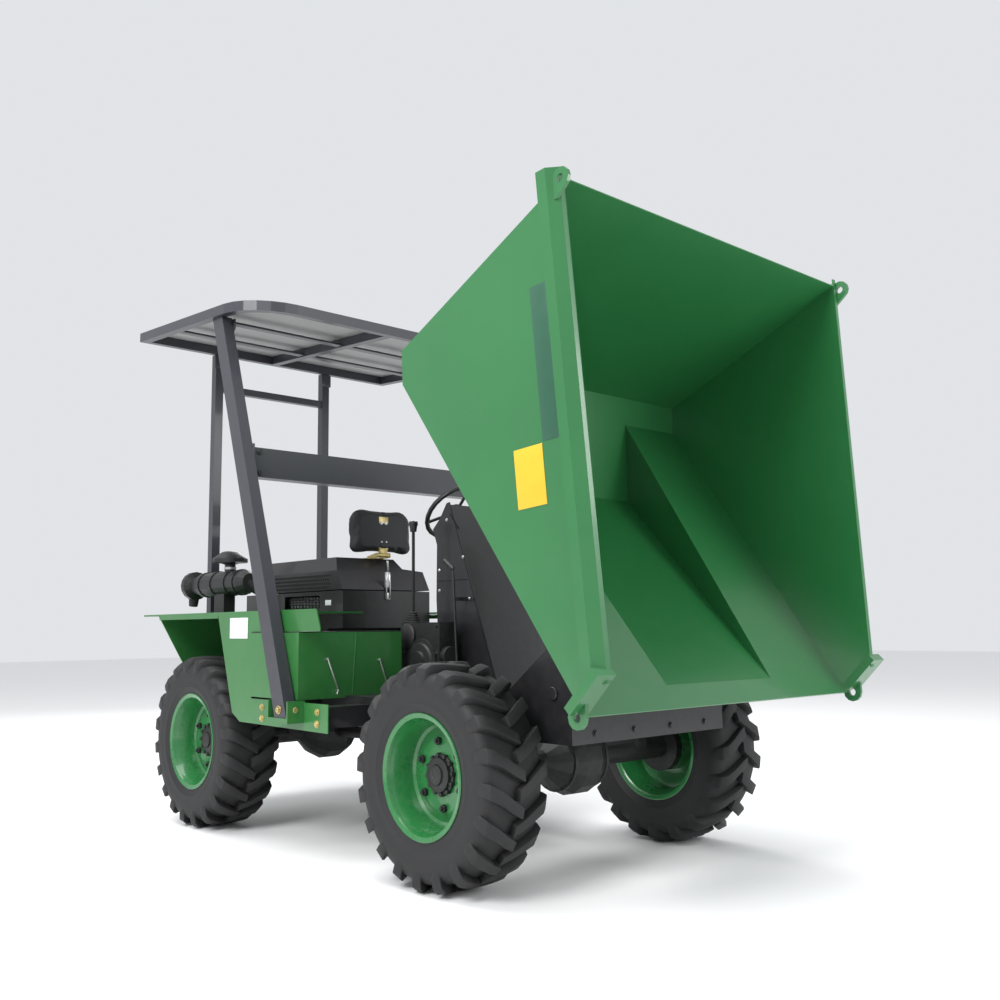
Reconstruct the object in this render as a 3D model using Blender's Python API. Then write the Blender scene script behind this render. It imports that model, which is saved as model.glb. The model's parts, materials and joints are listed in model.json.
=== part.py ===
"""Front-tipping four-wheel site dumper, shown with its skip tipped.

Frame: metres, X forward, Y left, Z up.  The driving dimensions below are measured
from the ground point under the middle of the front axle; at the end everything is
moved so that the origin is the middle of the footprint, at ground level.
"""
import math

import bmesh
import bpy
import numpy as np
from mathutils import Matrix, Vector

# ---------------------------------------------------------------- general
GAP = 0.0003            # gap between touching pieces
SHEET = 0.005           # body sheet metal

# ---------------------------------------------------------------- wheels
WHEELBASE = 1.681
TRACK = 1.208
TYRE_RADIUS = 0.380
TYRE_HALF_WIDTH = 0.132
RIM_SEAT_RADIUS = 0.1972
RIM_FLANGE_RADIUS = 0.2124
RIM_HALF_WIDTH = 0.120
DISC_OFFSET = 0.014     # inboard face of the wheel disc, from the wheel's middle
HUB_RADIUS = 0.055
HUB_ROOT = 0.0437       # inboard face of the hub, from the wheel's middle
HUB_END = {"front": 0.046, "rear": 0.036}
WHEEL_SEGMENTS = 28

# ---------------------------------------------------------------- axles
AXLE_RADIUS = 0.045
AXLE_FLANGE_RADIUS = 0.100
DIFF_RADIUS = 0.135
KINGPIN_Y = 0.485
KNUCKLE_RADIUS = 0.030
KNUCKLE_HALF_HEIGHT = 0.085
YOKE_THICKNESS = 0.020
SHAFT_RADIUS = 0.025

# ---------------------------------------------------------------- chassis
RAIL_BOTTOM = 0.490
RAIL_TOP = 0.600
FRONT_RAIL = (0.330, 0.3997)
REAR_RAIL = (0.190, 0.250)
CROSS_REAR = -1.250
CROSS_FRONT = -1.130
REAR_END = -2.2347
NOSE_BACK = 0.398
NOSE_THICKNESS = 0.012
NOSE_TOP = 0.655
TOWER_PLATE = 0.012
OUTRIGGER_Y = 0.500
OUTRIGGER_X = (-0.950, -0.450)
FLOOR_X = (-0.7695, -0.420)
FLOOR_THICKNESS = 0.008
REAR_PLATE = 0.050
REAR_PLATE_HALF_WIDTH = 0.420

# ---------------------------------------------------------------- skip, as tipped
HINGE = Vector((0.368, 0.0, 1.0915))
HINGE_PIN_RADIUS = 0.012
TOWER_RADIUS = 0.026
EAR_THICKNESS = 0.015
EAR_CLEARANCE = 0.0015
SKIP_TOP = (0.760, 2.210)               # x, z of each inner corner
SKIP_REAR = (-0.050, 1.844)
SKIP_HEEL = (-0.050, 1.728)
SKIP_LIP = (0.760, 0.620)
SKIP_CHEEK = (0.862, 0.726)
TROUGH_HEEL_Z = 1.400
TROUGH_HALF_WIDTH = 0.430
TROUGH_TIP = (0.710, 0.688)
TROUGH_TIP_HALF_WIDTH = 0.290
SIDE_AT_LIP = 0.715
SIDE_FLARE = 0.0327
RIM_DEPTH = 0.070
RIM_OUT = 0.050
CHEEK_OUT = 0.078
LUG_RADIUS = 0.035
LUG_THICKNESS = 0.012
LUGS = ((0.774, 2.196, 0.795), (0.764, 0.619, 0.755))

# ---------------------------------------------------------------- tip cylinder
CYLINDER_FOOT = Vector((0.360, 0.0, 0.530))
CYLINDER_EYE = Vector((0.166, 0.0, 1.095))
BARREL_RADIUS = 0.035
BARREL_LENGTH = 0.315
BARREL_BORE = 0.0231
ROD_RADIUS = 0.0225
ROD_LENGTH = 0.320
CYLINDER_PIN = 0.012
FOOT_LUG = (0.045, 0.057)
EYE_LUG = (0.035, 0.045)

# ---------------------------------------------------------------- rear bodywork
BODY_HALF_WIDTH = 0.7165
DECK_TOP = 0.955
DECK_FRONT = -1.155
TANK_X = (-1.150, -0.770)
TANK_Z = (RAIL_TOP + GAP, 0.863)
TANK_OUTER = 0.725
TANK_INNER = {-1: 0.220, 1: 0.400}

# ---------------------------------------------------------------- engine cover and seat
COVER_Y = (-0.150, 0.370)
COVER_FRONT = -1.320
COVER_SHEET = 0.004
BASE_Z = (0.880, 1.058)
BONNET_REAR = -2.020
BONNET_LOW = 1.063
BONNET_TOP = 1.220
BONNET_LEAN = 0.090
BONNET_HINGE = Vector((-2.030, 0.0, 1.060))
SEAT_HINGE = Vector((-1.360, 0.110, 1.235))
SEAT_HALF_WIDTH = 0.185
SEAT_HEIGHT = 0.228
SEAT_THICKNESS = 0.052
SEAT_LEAN = math.radians(3.0)

# ---------------------------------------------------------------- console
CONSOLE_Y = (-0.010, 0.360)
WHEEL_CENTRE = Vector((-0.870, 0.170, 1.410))
WHEEL_RIM_RADIUS = 0.160
WHEEL_TUBE_RADIUS = 0.011
COLUMN_TILT = math.radians(45.0)
COLUMN_RADIUS = 0.020
COLUMN_LENGTH = 0.130

# ---------------------------------------------------------------- roll frame and canopy
LEG_FOOT = Vector((-0.800, 0.760, 0.535))
LEG_TOP_X = -1.470
LEG_TOP_Y = 0.722
LEG_HALF_DEPTH = 0.044
LEG_HALF_WIDTH = 0.025
BEAM_X = (-1.260, -1.190)
BEAM_Z = (1.535, 1.665)
BEAM_END = 0.7105
CANOPY_REAR = -2.275
CANOPY_FRONT = -1.135
CANOPY_HALF_WIDTH = 0.765
CANOPY_REAR_Z = 2.397
CANOPY_SLOPE = 0.065
CANOPY_DEPTH = 0.045
CANOPY_TUBE = 0.042
CANOPY_CORNER = 0.240
PANEL_THICKNESS = 0.004
POST_Y = 0.335
POST_HALF = 0.0225
POST_X = -2.260
CROSSBAR_Z = 2.170
CROSSBAR_HALF = 0.018


# ---------------------------------------------------------------- materials
def make_material(name, colour, roughness, metallic=0.0):
    """A Principled material of one colour."""
    material = bpy.data.materials.new(name)
    material.use_nodes = True
    shader = material.node_tree.nodes["Principled BSDF"]
    shader.inputs["Base Color"].default_value = (*colour, 1.0)
    shader.inputs["Roughness"].default_value = roughness
    shader.inputs["Metallic"].default_value = metallic
    return material


# ---------------------------------------------------------------- shape helpers
def prism(points, low, high, axis="Y"):
    """Extrude a closed 2-D outline from low to high along one axis."""
    place = {"X": lambda a, b, d: (d, a, b),
             "Y": lambda a, b, d: (a, d, b),
             "Z": lambda a, b, d: (a, b, d)}[axis]
    bm = bmesh.new()
    first = [bm.verts.new(place(a, b, low)) for a, b in points]
    last = [bm.verts.new(place(a, b, high)) for a, b in points]
    bm.faces.new(first)
    bm.faces.new(list(reversed(last)))
    for i in range(len(points)):
        j = (i + 1) % len(points)
        bm.faces.new((first[j], first[i], last[i], last[j]))
    bmesh.ops.recalc_face_normals(bm, faces=bm.faces)
    return bm


def box(x, y, z):
    """A block between the given limits."""
    return prism([(x[0], z[0]), (x[1], z[0]), (x[1], z[1]), (x[0], z[1])], y[0], y[1])


def side_range(side, inner, outer):
    """Limits along Y on the left (1) or right (-1) side."""
    return (inner, outer) if side > 0 else (-outer, -inner)


def tube(start, end, radius, segments=12, end_radius=None):
    """A round bar between two points."""
    start, end = Vector(start), Vector(end)
    axis = end - start
    bm = bmesh.new()
    bmesh.ops.create_cone(bm, cap_ends=True, segments=segments, radius1=radius,
                          radius2=radius if end_radius is None else end_radius,
                          depth=axis.length)
    turn = axis.to_track_quat("Z", "Y").to_matrix().to_4x4()
    bmesh.ops.transform(bm, verts=bm.verts, matrix=Matrix.Translation((start + end) / 2) @ turn)
    return bm


def turned(profile, origin, axis, segments):
    """Spin a closed profile of (radius, height) points round an axis."""
    axis = Vector(axis).normalized()
    turn = axis.to_track_quat("Z", "Y").to_matrix()
    bm = bmesh.new()
    rings = []
    for radius, height in profile:
        if radius == 0.0:
            rings.append([bm.verts.new(Vector(origin) + turn @ Vector((0, 0, height)))])
            continue
        ring = []
        for i in range(segments):
            angle = 2 * math.pi * i / segments
            point = Vector((radius * math.cos(angle), radius * math.sin(angle), height))
            ring.append(bm.verts.new(Vector(origin) + turn @ point))
        rings.append(ring)
    for a, b in zip(rings, rings[1:] + rings[:1]):
        for i in range(segments):
            j = (i + 1) % segments
            corners = [a[i % len(a)], a[j % len(a)], b[j % len(b)], b[i % len(b)]]
            corners = [v for k, v in enumerate(corners) if v not in corners[:k]]
            if len(corners) > 2:
                bm.faces.new(corners)
    bmesh.ops.recalc_face_normals(bm, faces=bm.faces)
    return bm


def hull(points):
    """Convex outline round a set of 2-D points, counter-clockwise."""
    points = sorted(set(points))

    def chain(ordered):
        out = []
        for p in ordered:
            while len(out) > 1 and ((out[-1][0] - out[-2][0]) * (p[1] - out[-2][1])
                                    - (out[-1][1] - out[-2][1]) * (p[0] - out[-2][0])) <= 0:
                out.pop()
            out.append(p)
        return out[:-1]
    return chain(points) + chain(points[::-1])


def arc(centre, radius, start, end, steps):
    """Points on an arc, angles in degrees."""
    return [(centre[0] + radius * math.cos(math.radians(start + (end - start) * i / steps)),
             centre[1] + radius * math.sin(math.radians(start + (end - start) * i / steps)))
            for i in range(steps + 1)]


def mesh_object(bm, name):
    """A scene object from a bmesh."""
    mesh = bpy.data.meshes.new(name)
    bm.to_mesh(mesh)
    bm.free()
    item = bpy.data.objects.new(name, mesh)
    bpy.context.collection.objects.link(item)
    return item


def boolean(target, tool, operation):
    """Apply one exact Boolean to the target's mesh and remove the tool."""
    modifier = target.modifiers.new("cut", "BOOLEAN")
    modifier.operation = operation
    modifier.solver = "EXACT"
    modifier.object = tool
    evaluated = target.evaluated_get(bpy.context.evaluated_depsgraph_get())
    mesh = bpy.data.meshes.new_from_object(evaluated)
    target.modifiers.clear()
    target.data = mesh
    bpy.data.objects.remove(tool)


def build(name, solids, material, pivot=(0, 0, 0), cuts=()):
    """One closed body from the union of solids less the cuts, its origin at pivot."""
    item = mesh_object(solids[0], name)
    for solid in solids[1:]:
        boolean(item, mesh_object(solid, "tool"), "UNION")
    for cut in cuts:
        boolean(item, mesh_object(cut, "tool"), "DIFFERENCE")
    item.data.transform(Matrix.Translation(-Vector(pivot)))
    item.data.materials.clear()
    item.data.materials.append(material)
    item.data.shade_smooth()
    item.data.set_sharp_from_angle(angle=math.radians(32))
    item.location = pivot
    item.parent = MACHINE
    return item


def edge_band(points, width):
    """Closed outline of a bent sheet that follows a path, width wide on its left."""
    pts = [Vector(p) for p in points]
    inner = []
    for i, p in enumerate(pts):
        before = (p - pts[i - 1]).normalized() if i else None
        after = (pts[i + 1] - p).normalized() if i < len(pts) - 1 else None
        first, second = before or after, after or before
        n1, n2 = Vector((-first.y, first.x)), Vector((-second.y, second.x))
        mid = (n1 + n2).normalized()
        inner.append(p + mid * (width / max(mid.dot(n1), 0.3)))
    return [tuple(p) for p in pts] + [tuple(p) for p in reversed(inner)]


# ---------------------------------------------------------------- wheels and axles
def wheel(name, place, centre, side):
    """Tyre, and rim with its hub, of one wheel; side is 1 on the left."""
    w, t, seat = RIM_HALF_WIDTH, TYRE_HALF_WIDTH, RIM_SEAT_RADIUS
    bead = w - 0.008
    half = [(seat + GAP, bead - GAP), (RIM_FLANGE_RADIUS + 0.001, bead - GAP), (0.235, t - 0.008),
            (0.300, t), (0.352, t - 0.005), (TYRE_RADIUS, t - 0.037)]
    tyre = half + [(r, -a) for r, a in reversed(half)]
    build(f"tyre_{name}", [turned(tyre, centre, (0, side, 0), WHEEL_SEGMENTS)], RUBBER, centre)
    flange, wall, d, end = RIM_FLANGE_RADIUS, 0.0065, DISC_OFFSET, HUB_END[place]
    rim = [(0.0, end), (HUB_RADIUS * 0.8, end), (HUB_RADIUS, end - 0.008), (HUB_RADIUS, d + 0.008),
           (0.120, d + 0.008), (0.170, 0.012), (seat - wall, 0.034), (seat - wall, w - 0.008),
           (flange - 0.009, w), (flange, w), (flange, bead), (seat, bead), (seat, -bead),
           (flange, -bead), (flange, -w), (flange - 0.009, -w), (seat - wall, -w + 0.008),
           (seat - wall, 0.020), (0.176, 0.002), (0.122, d), (0.100, d), (0.100, -HUB_ROOT),
           (0.0, -HUB_ROOT)]
    build(f"rim_{name}", [turned(rim, centre, (0, side, 0), WHEEL_SEGMENTS)], RIM_GREEN, centre)


def casing(x, ends):
    """Profile of an axle casing with its differential, as (radius, offset) points."""
    profile = [(0.0, -ends), (AXLE_RADIUS, -ends), (AXLE_RADIUS, -0.160), (0.105, -0.100),
               (DIFF_RADIUS, -0.040)]
    profile += [(r, -h) for r, h in reversed(profile)]
    return turned(profile, (x, 0, TYRE_RADIUS), (0, 1, 0), 16)


def axle_pad(x, rail, side):
    """Pad between the axle and one rail."""
    y = side_range(side, rail[0] + 0.005, rail[1] - 0.005)
    return box((x - 0.050, x + 0.050), y, (TYRE_RADIUS, RAIL_BOTTOM - GAP))


def front_axle():
    """Rigid front axle with end flanges, hung from pads under the rails."""
    end = TRACK / 2 - HUB_ROOT - GAP
    solids = [casing(0.0, end)]
    for side in (-1, 1):
        y = side_range(side, end - 0.035, end)
        solids.append(tube((0, y[0], TYRE_RADIUS), (0, y[1], TYRE_RADIUS), AXLE_FLANGE_RADIUS, 16))
        solids.append(axle_pad(0.0, FRONT_RAIL, side))
    build("front_axle", solids, CAST_BLACK)


def rear_axle():
    """Rear axle with a yoke at each end for the steering knuckles."""
    x, z = -WHEELBASE, TYRE_RADIUS
    reach = KINGPIN_Y - KNUCKLE_RADIUS - 0.008
    solids = [casing(x, reach - 0.010)]
    for side in (-1, 1):
        solids.append(axle_pad(x, REAR_RAIL, side))
        solids.append(box((x - 0.032, x + 0.032), side_range(side, reach - 0.040, reach),
                          (z - 0.107, z + 0.107)))
        for way in (-1, 1):
            inner = z + way * (KNUCKLE_HALF_HEIGHT + 0.002)
            outer = inner + way * YOKE_THICKNESS
            ear = hull([(x + a, side * (reach - 0.040)) for a in (-0.032, 0.032)]
                       + arc((x, side * KINGPIN_Y), KNUCKLE_RADIUS, 0, 330, 11))
            solids.append(prism(ear, min(inner, outer), max(inner, outer), "Z"))
    build("rear_axle", solids, CAST_BLACK)


def knuckle(side, name):
    """Steering knuckle: kingpin barrel, stub and wheel flange."""
    centre = (-WHEELBASE, side * KINGPIN_Y, TYRE_RADIUS)
    low = TYRE_RADIUS - KNUCKLE_HALF_HEIGHT
    high = TYRE_RADIUS + KNUCKLE_HALF_HEIGHT
    end = side * (TRACK / 2 - HUB_ROOT - GAP)
    barrel = tube((centre[0], centre[1], low), (centre[0], centre[1], high), KNUCKLE_RADIUS, 16)
    stub = tube(centre, (centre[0], end, TYRE_RADIUS), 0.026, 16)
    flange = tube((centre[0], end - side * 0.022, TYRE_RADIUS), (centre[0], end, TYRE_RADIUS),
                  AXLE_FLANGE_RADIUS, 16)
    build(f"knuckle_{name}", [barrel, stub, flange], CAST_BLACK, centre)


# ---------------------------------------------------------------- chassis
def hinge_tower(side, name):
    """Front side plate that rises to the skip's hinge, with the hinge pin."""
    h = (HINGE.x, HINGE.z)
    outline = [(0.040, 0.487), (0.410, 0.487), (0.410, 0.660), (0.430, 0.900)]
    outline += arc(h, TOWER_RADIUS, -5, 200, 10)
    outline += [(0.335, 1.060), (0.293, 0.797), (0.064, 0.624), (0.040, 0.600)]
    inner = FRONT_RAIL[1] + GAP
    y = side_range(side, inner, inner + TOWER_PLATE)
    plate = prism(outline, y[0], y[1])
    y = side_range(side, inner + 0.002, inner + TOWER_PLATE + EAR_CLEARANCE + EAR_THICKNESS)
    pin = tube((HINGE.x, y[0], HINGE.z), (HINGE.x, y[1], HINGE.z), HINGE_PIN_RADIUS, 16)
    build(f"hinge_tower_{name}", [plate, pin], FRAME_BLACK)


def chassis():
    """Rails, crossmembers, outriggers, tank arms and nose with the cylinder's lugs."""
    rails = (RAIL_BOTTOM, RAIL_TOP)
    nose = FRONT_RAIL[1]
    foot = (CYLINDER_FOOT.x, CYLINDER_FOOT.z)
    solids = [box((CROSS_REAR, CROSS_FRONT), (-nose, nose), rails)]
    cuts = []
    for side in (-1, 1):
        solids.append(box((CROSS_FRONT - 0.01, NOSE_BACK + 0.002), side_range(side, *FRONT_RAIL), rails))
        solids.append(box((REAR_END, CROSS_REAR + 0.01), side_range(side, *REAR_RAIL), rails))
        solids.append(box(OUTRIGGER_X, side_range(side, nose - 0.01, OUTRIGGER_Y), rails))
        for x in ((-1.100, -1.020), (-0.680, -0.600)):
            y = side_range(side, nose - 0.01, BODY_HALF_WIDTH - SHEET - GAP)
            solids.append(box(x, y, (0.500, 0.580)))
        lug = hull(arc(foot, 0.030, 0, 330, 11) + [(NOSE_BACK + 0.002, 0.500), (NOSE_BACK + 0.002, 0.562)])
        y = side_range(side, *FOOT_LUG)
        solids.append(prism(lug, y[0], y[1]))
        cuts.append(tube((foot[0], y[0] - 0.01, foot[1]), (foot[0], y[1] + 0.01, foot[1]),
                         CYLINDER_PIN + GAP, 16))
    solids.append(box((NOSE_BACK, NOSE_BACK + NOSE_THICKNESS), (-nose, nose), (0.487, NOSE_TOP)))
    solids.append(box((0.250, NOSE_BACK + 0.002), (-nose, nose), (0.487, 0.497)))
    solids.append(box((REAR_END, REAR_END + 0.050), (-0.240, 0.240), rails))
    build("chassis_frame", solids, FRAME_BLACK, cuts=cuts)
    build("floor_plate", [box(FLOOR_X, (-OUTRIGGER_Y, OUTRIGGER_Y),
                              (RAIL_TOP + GAP, RAIL_TOP + FLOOR_THICKNESS))], FRAME_BLACK)
    build("rear_plate", [box((REAR_END - REAR_PLATE - GAP, REAR_END - GAP),
                             (-REAR_PLATE_HALF_WIDTH, REAR_PLATE_HALF_WIDTH), (0.500, DECK_TOP))],
          BODY_GREEN)
    end = DIFF_RADIUS + GAP
    build("propshaft", [tube((-WHEELBASE + end, 0, TYRE_RADIUS), (-end, 0, TYRE_RADIUS),
                             SHAFT_RADIUS, 14)], CAST_BLACK)


# ---------------------------------------------------------------- skip
def half_width(x, z):
    """Half width of the skip's inside at a point of its side wall."""
    return SIDE_AT_LIP + SIDE_FLARE * (z - SKIP_LIP[1]) + 0.0013 * (x - SKIP_LIP[0])


def thickened(bm, thickness):
    """Close an open surface into a sheet whose outer faces all lie one thickness out."""
    bm.normal_update()
    outer = {}
    for vert in bm.verts[:]:
        normals = [tuple(face.normal) for face in vert.link_faces]
        shift = np.linalg.lstsq(np.array(normals), np.full(len(normals), thickness), rcond=1e-6)[0]
        outer[vert] = bm.verts.new(vert.co + Vector(shift.tolist()))
    edges = [edge for edge in bm.edges if len(edge.link_faces) == 1]
    for face in bm.faces[:]:
        bm.faces.new([outer[vert] for vert in face.verts])
    for edge in edges:
        a, b = edge.verts
        bm.faces.new((a, b, outer[b], outer[a]))
    bmesh.ops.recalc_face_normals(bm, faces=bm.faces)
    return bm


def skip_skin():
    """The skip's inner surface, thickened outwards."""
    bm = bmesh.new()
    v = {}
    corners = {key: (x, half_width(x, z), z) for key, (x, z) in
               {"top": SKIP_TOP, "rear": SKIP_REAR, "heel": SKIP_HEEL, "lip": SKIP_LIP,
                "cheek": SKIP_CHEEK}.items()}
    corners["key"] = (SKIP_HEEL[0], TROUGH_HALF_WIDTH, SKIP_HEEL[1])
    corners["low"] = (SKIP_HEEL[0], TROUGH_HALF_WIDTH, TROUGH_HEEL_Z)
    corners["tip"] = (TROUGH_TIP[0], TROUGH_TIP_HALF_WIDTH, TROUGH_TIP[1])
    for key, (x, y, z) in corners.items():
        for side in (-1, 1):
            v[key, side] = bm.verts.new((x, side * y, z))
    a, b = -1, 1
    loops = [[("top", a), ("top", b), ("rear", b), ("rear", a)],
             [("rear", a), ("rear", b), ("heel", b), ("key", b), ("low", b), ("low", a),
              ("key", a), ("heel", a)],
             [("low", a), ("low", b), ("tip", b), ("tip", a)],
             [("heel", a), ("key", a), ("tip", a), ("lip", a)],
             [("heel", b), ("lip", b), ("tip", b), ("key", b)],
             [("tip", a), ("tip", b), ("lip", b), ("lip", a)],
             [("key", a), ("low", a), ("tip", a)],
             [("key", b), ("tip", b), ("low", b)]]
    for s in (a, b):
        loops.append([("top", s), ("rear", s), ("heel", s), ("lip", s), ("cheek", s)])
    for loop in loops:
        bm.faces.new([v[key] for key in loop])
    bmesh.ops.recalc_face_normals(bm, faces=bm.faces)
    bm.faces.ensure_lookup_table()
    back = bm.faces[0]
    if back.normal.dot(back.calc_center_median() - Vector((0.5, 0.0, 1.5))) < 0:
        bmesh.ops.reverse_faces(bm, faces=bm.faces)
    return thickened(bm, SHEET)


def skip_rim(side):
    """Folded sheet rim along one side of the mouth, open at both ends."""
    top, low = Vector(SKIP_TOP), Vector(SKIP_CHEEK)
    run = (low - top).normalized()
    front = Vector((-run.y, run.x))
    ends = (top - run * 0.030, low + run * 0.010)
    band = edge_band([(0.0, 0.003), (0.0, 0.020), (0.030, RIM_OUT), (RIM_DEPTH, RIM_OUT),
                      (RIM_DEPTH, 0.003)], -SHEET)
    bm = bmesh.new()
    rings = []
    for point in ends:
        wall = half_width(point.x, point.y)
        rings.append([bm.verts.new((point.x - front.x * d, side * (wall + o), point.y - front.y * d))
                      for d, o in band])
    bm.faces.new(rings[0])
    bm.faces.new(rings[1][::-1])
    for i in range(len(band)):
        j = (i + 1) % len(band)
        bm.faces.new((rings[0][i], rings[0][j], rings[1][j], rings[1][i]))
    bmesh.ops.recalc_face_normals(bm, faces=bm.faces)
    return bm


def skip_cheek(side):
    """Square corner piece between the rim's foot and the lip."""
    a, b = Vector(SKIP_CHEEK), Vector(SKIP_LIP)
    run = (b - a).normalized()
    back = Vector((run.y, -run.x))
    start, end = a - run * 0.020, b - run * 0.010
    outline = [start, end, end + back * 0.030, start + back * 0.030]
    y = side_range(side, SIDE_AT_LIP + 0.0005, SIDE_AT_LIP + CHEEK_OUT)
    return prism([tuple(p) for p in outline], y[0], y[1])


def skip_lugs(side):
    """Lifting lugs at the top and bottom corners of the mouth."""
    solids = []
    for (x, z, y), root in zip(LUGS, ((-0.030, -0.060), (0.020, 0.060))):
        outline = hull(arc((x, z), LUG_RADIUS, 0, 330, 11) + [(x + root[0], z + root[1]),
                                                             (x + root[0] + 0.012, z + root[1])])
        limits = side_range(side, y - LUG_THICKNESS / 2, y + LUG_THICKNESS / 2)
        solids.append(prism(outline, limits[0], limits[1]))
    x, z, y = LUGS[1]
    limits = side_range(side, SIDE_AT_LIP + 0.002, y)
    solids.append(box((x - 0.014, x + 0.006), limits, (z + 0.012, z + 0.034)))
    return solids


def under_floor(centre, radius, spread, line):
    """Outline of a plate that hangs from a sloping floor and ends round a hole."""
    start, end = Vector(line[0]), Vector(line[1])
    run = (end - start).normalized()
    centre = Vector(centre)
    foot = start + run * (centre - start).dot(run)
    down = (centre - foot).normalized()
    base = [foot + run * s + down * 0.002 for s in (-spread, spread)]
    return hull(arc(tuple(centre), radius, 0, 330, 11) + [tuple(p) for p in base])


def skip():
    """The skip: skin, folded rims, corner pieces, lugs and hinge ears in one body."""
    solids = [skip_skin()]
    cuts = []
    inner = FRONT_RAIL[1] + GAP + TOWER_PLATE + EAR_CLEARANCE
    hinge = (HINGE.x, HINGE.z)
    eye = (CYLINDER_EYE.x, CYLINDER_EYE.z)
    heel = (SKIP_HEEL[0], TROUGH_HEEL_Z)
    for side in (-1, 1):
        solids.append(skip_rim(side))
        solids.append(skip_cheek(side))
        solids += skip_lugs(side)
        y = side_range(side, inner, inner + EAR_THICKNESS)
        solids.append(prism(under_floor(hinge, 0.030, 0.110, (SKIP_HEEL, SKIP_LIP)), y[0], y[1]))
        cuts.append(tube((hinge[0], y[0] - 0.01, hinge[1]), (hinge[0], y[1] + 0.01, hinge[1]),
                         HINGE_PIN_RADIUS + GAP, 16))
        y = side_range(side, *EYE_LUG)
        solids.append(prism(under_floor(eye, 0.022, 0.050, (heel, TROUGH_TIP)), y[0], y[1]))
        for x, z, lug in LUGS:
            y = side_range(side, lug - 0.010, lug + 0.010)
            cuts.append(tube((x, y[0], z), (x, y[1], z), 0.014, 10))
    build("skip", solids, SKIP_GREEN, HINGE, cuts)


# ---------------------------------------------------------------- tip cylinder
def tip_cylinder():
    """Barrel and rod of the tipping cylinder, drawn extended."""
    way = (CYLINDER_EYE - CYLINDER_FOOT).normalized()
    length = (CYLINDER_EYE - CYLINDER_FOOT).length
    foot, tip = CYLINDER_FOOT, CYLINDER_EYE
    barrel = [(0.0, 0.010), (BARREL_RADIUS, 0.018), (BARREL_RADIUS, BARREL_LENGTH),
              (BARREL_BORE, BARREL_LENGTH), (BARREL_BORE, 0.025), (0.0, 0.025)]
    body = turned(barrel, foot, way, 16)
    eye = tube((foot.x, -0.030, foot.z), (foot.x, 0.030, foot.z), 0.022, 12)
    pin = tube((foot.x, -FOOT_LUG[1], foot.z), (foot.x, FOOT_LUG[1], foot.z), CYLINDER_PIN, 16)
    bore = turned([(0.0, 0.025), (BARREL_BORE, 0.025), (BARREL_BORE, 0.060), (0.0, 0.060)], foot, way, 16)
    build("tip_barrel", [body, eye, pin], FRAME_BLACK, foot, [bore])
    rod = tube(foot + way * (length - ROD_LENGTH), foot + way * (length - 0.010), ROD_RADIUS, 16)
    rod_eye = tube((tip.x, -0.028, tip.z), (tip.x, 0.028, tip.z), 0.022, 12)
    build("tip_rod", [rod, rod_eye], CHROME, tip)


# ---------------------------------------------------------------- rear bodywork
def side_panel(side, name):
    """Deck, side plate round the tank, tail plate and leg foot of one side."""
    w = BODY_HALF_WIDTH
    y = side_range(side, w - SHEET, w)
    deck = COVER_Y[1] + GAP if side > 0 else -COVER_Y[0] + GAP
    outline = [(-1.462, DECK_TOP), (-0.660, DECK_TOP), (-0.630, 0.880), (-0.630, 0.868), (-1.152, 0.868),
               (-1.152, 0.592), (-0.570, 0.592), (-0.570, 0.484), (-1.246, 0.491), (-1.314, 0.527)]
    solids = [prism(outline, y[0], y[1]),
              box((REAR_END, DECK_FRONT), side_range(side, deck, w), (DECK_TOP - 0.008, DECK_TOP)),
              box((-2.056, -1.460), y, (DECK_TOP - 0.027, DECK_TOP - 0.001))]
    inner = max(deck, 0.260)
    tail = [(side * (w - 0.001), DECK_TOP - 0.004), (side * 0.550, 0.660), (side * inner, 0.660),
            (side * inner, DECK_TOP - 0.004)]
    solids.append(prism(tail, -2.075, -2.070, "X"))
    out = side_range(side, w - 0.001, LEG_FOOT.y + LEG_HALF_WIDTH + 0.006)
    solids.append(box((-0.889, -0.737), out, (0.515, LEG_FOOT.z - GAP)))
    for x in ((-0.889, -0.881), (-0.745, -0.737)):
        solids.append(box(x, out, (0.517, 0.600)))
    strip = box((-0.890, -0.736), side_range(side, w - 0.003, w - 0.0005), (0.516, 0.599))
    solids.append(strip)
    build(f"side_panel_{name}", solids, BODY_GREEN)


def side_tank(side, name):
    """Closed side tank in front of the rear wheel."""
    y = side_range(side, TANK_INNER[side], TANK_OUTER)
    build(f"side_tank_{name}", [box(TANK_X, y, TANK_Z)], BODY_GREEN)


# ---------------------------------------------------------------- engine cover
def leaning(bm, above, reach):
    """Lean the front of a cover piece back with height."""
    for vert in bm.verts:
        if vert.co.x > COVER_FRONT - reach:
            vert.co.x -= max(vert.co.z - above, 0.0) * BONNET_LEAN / (BONNET_TOP - BONNET_LOW)
    return bm


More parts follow.
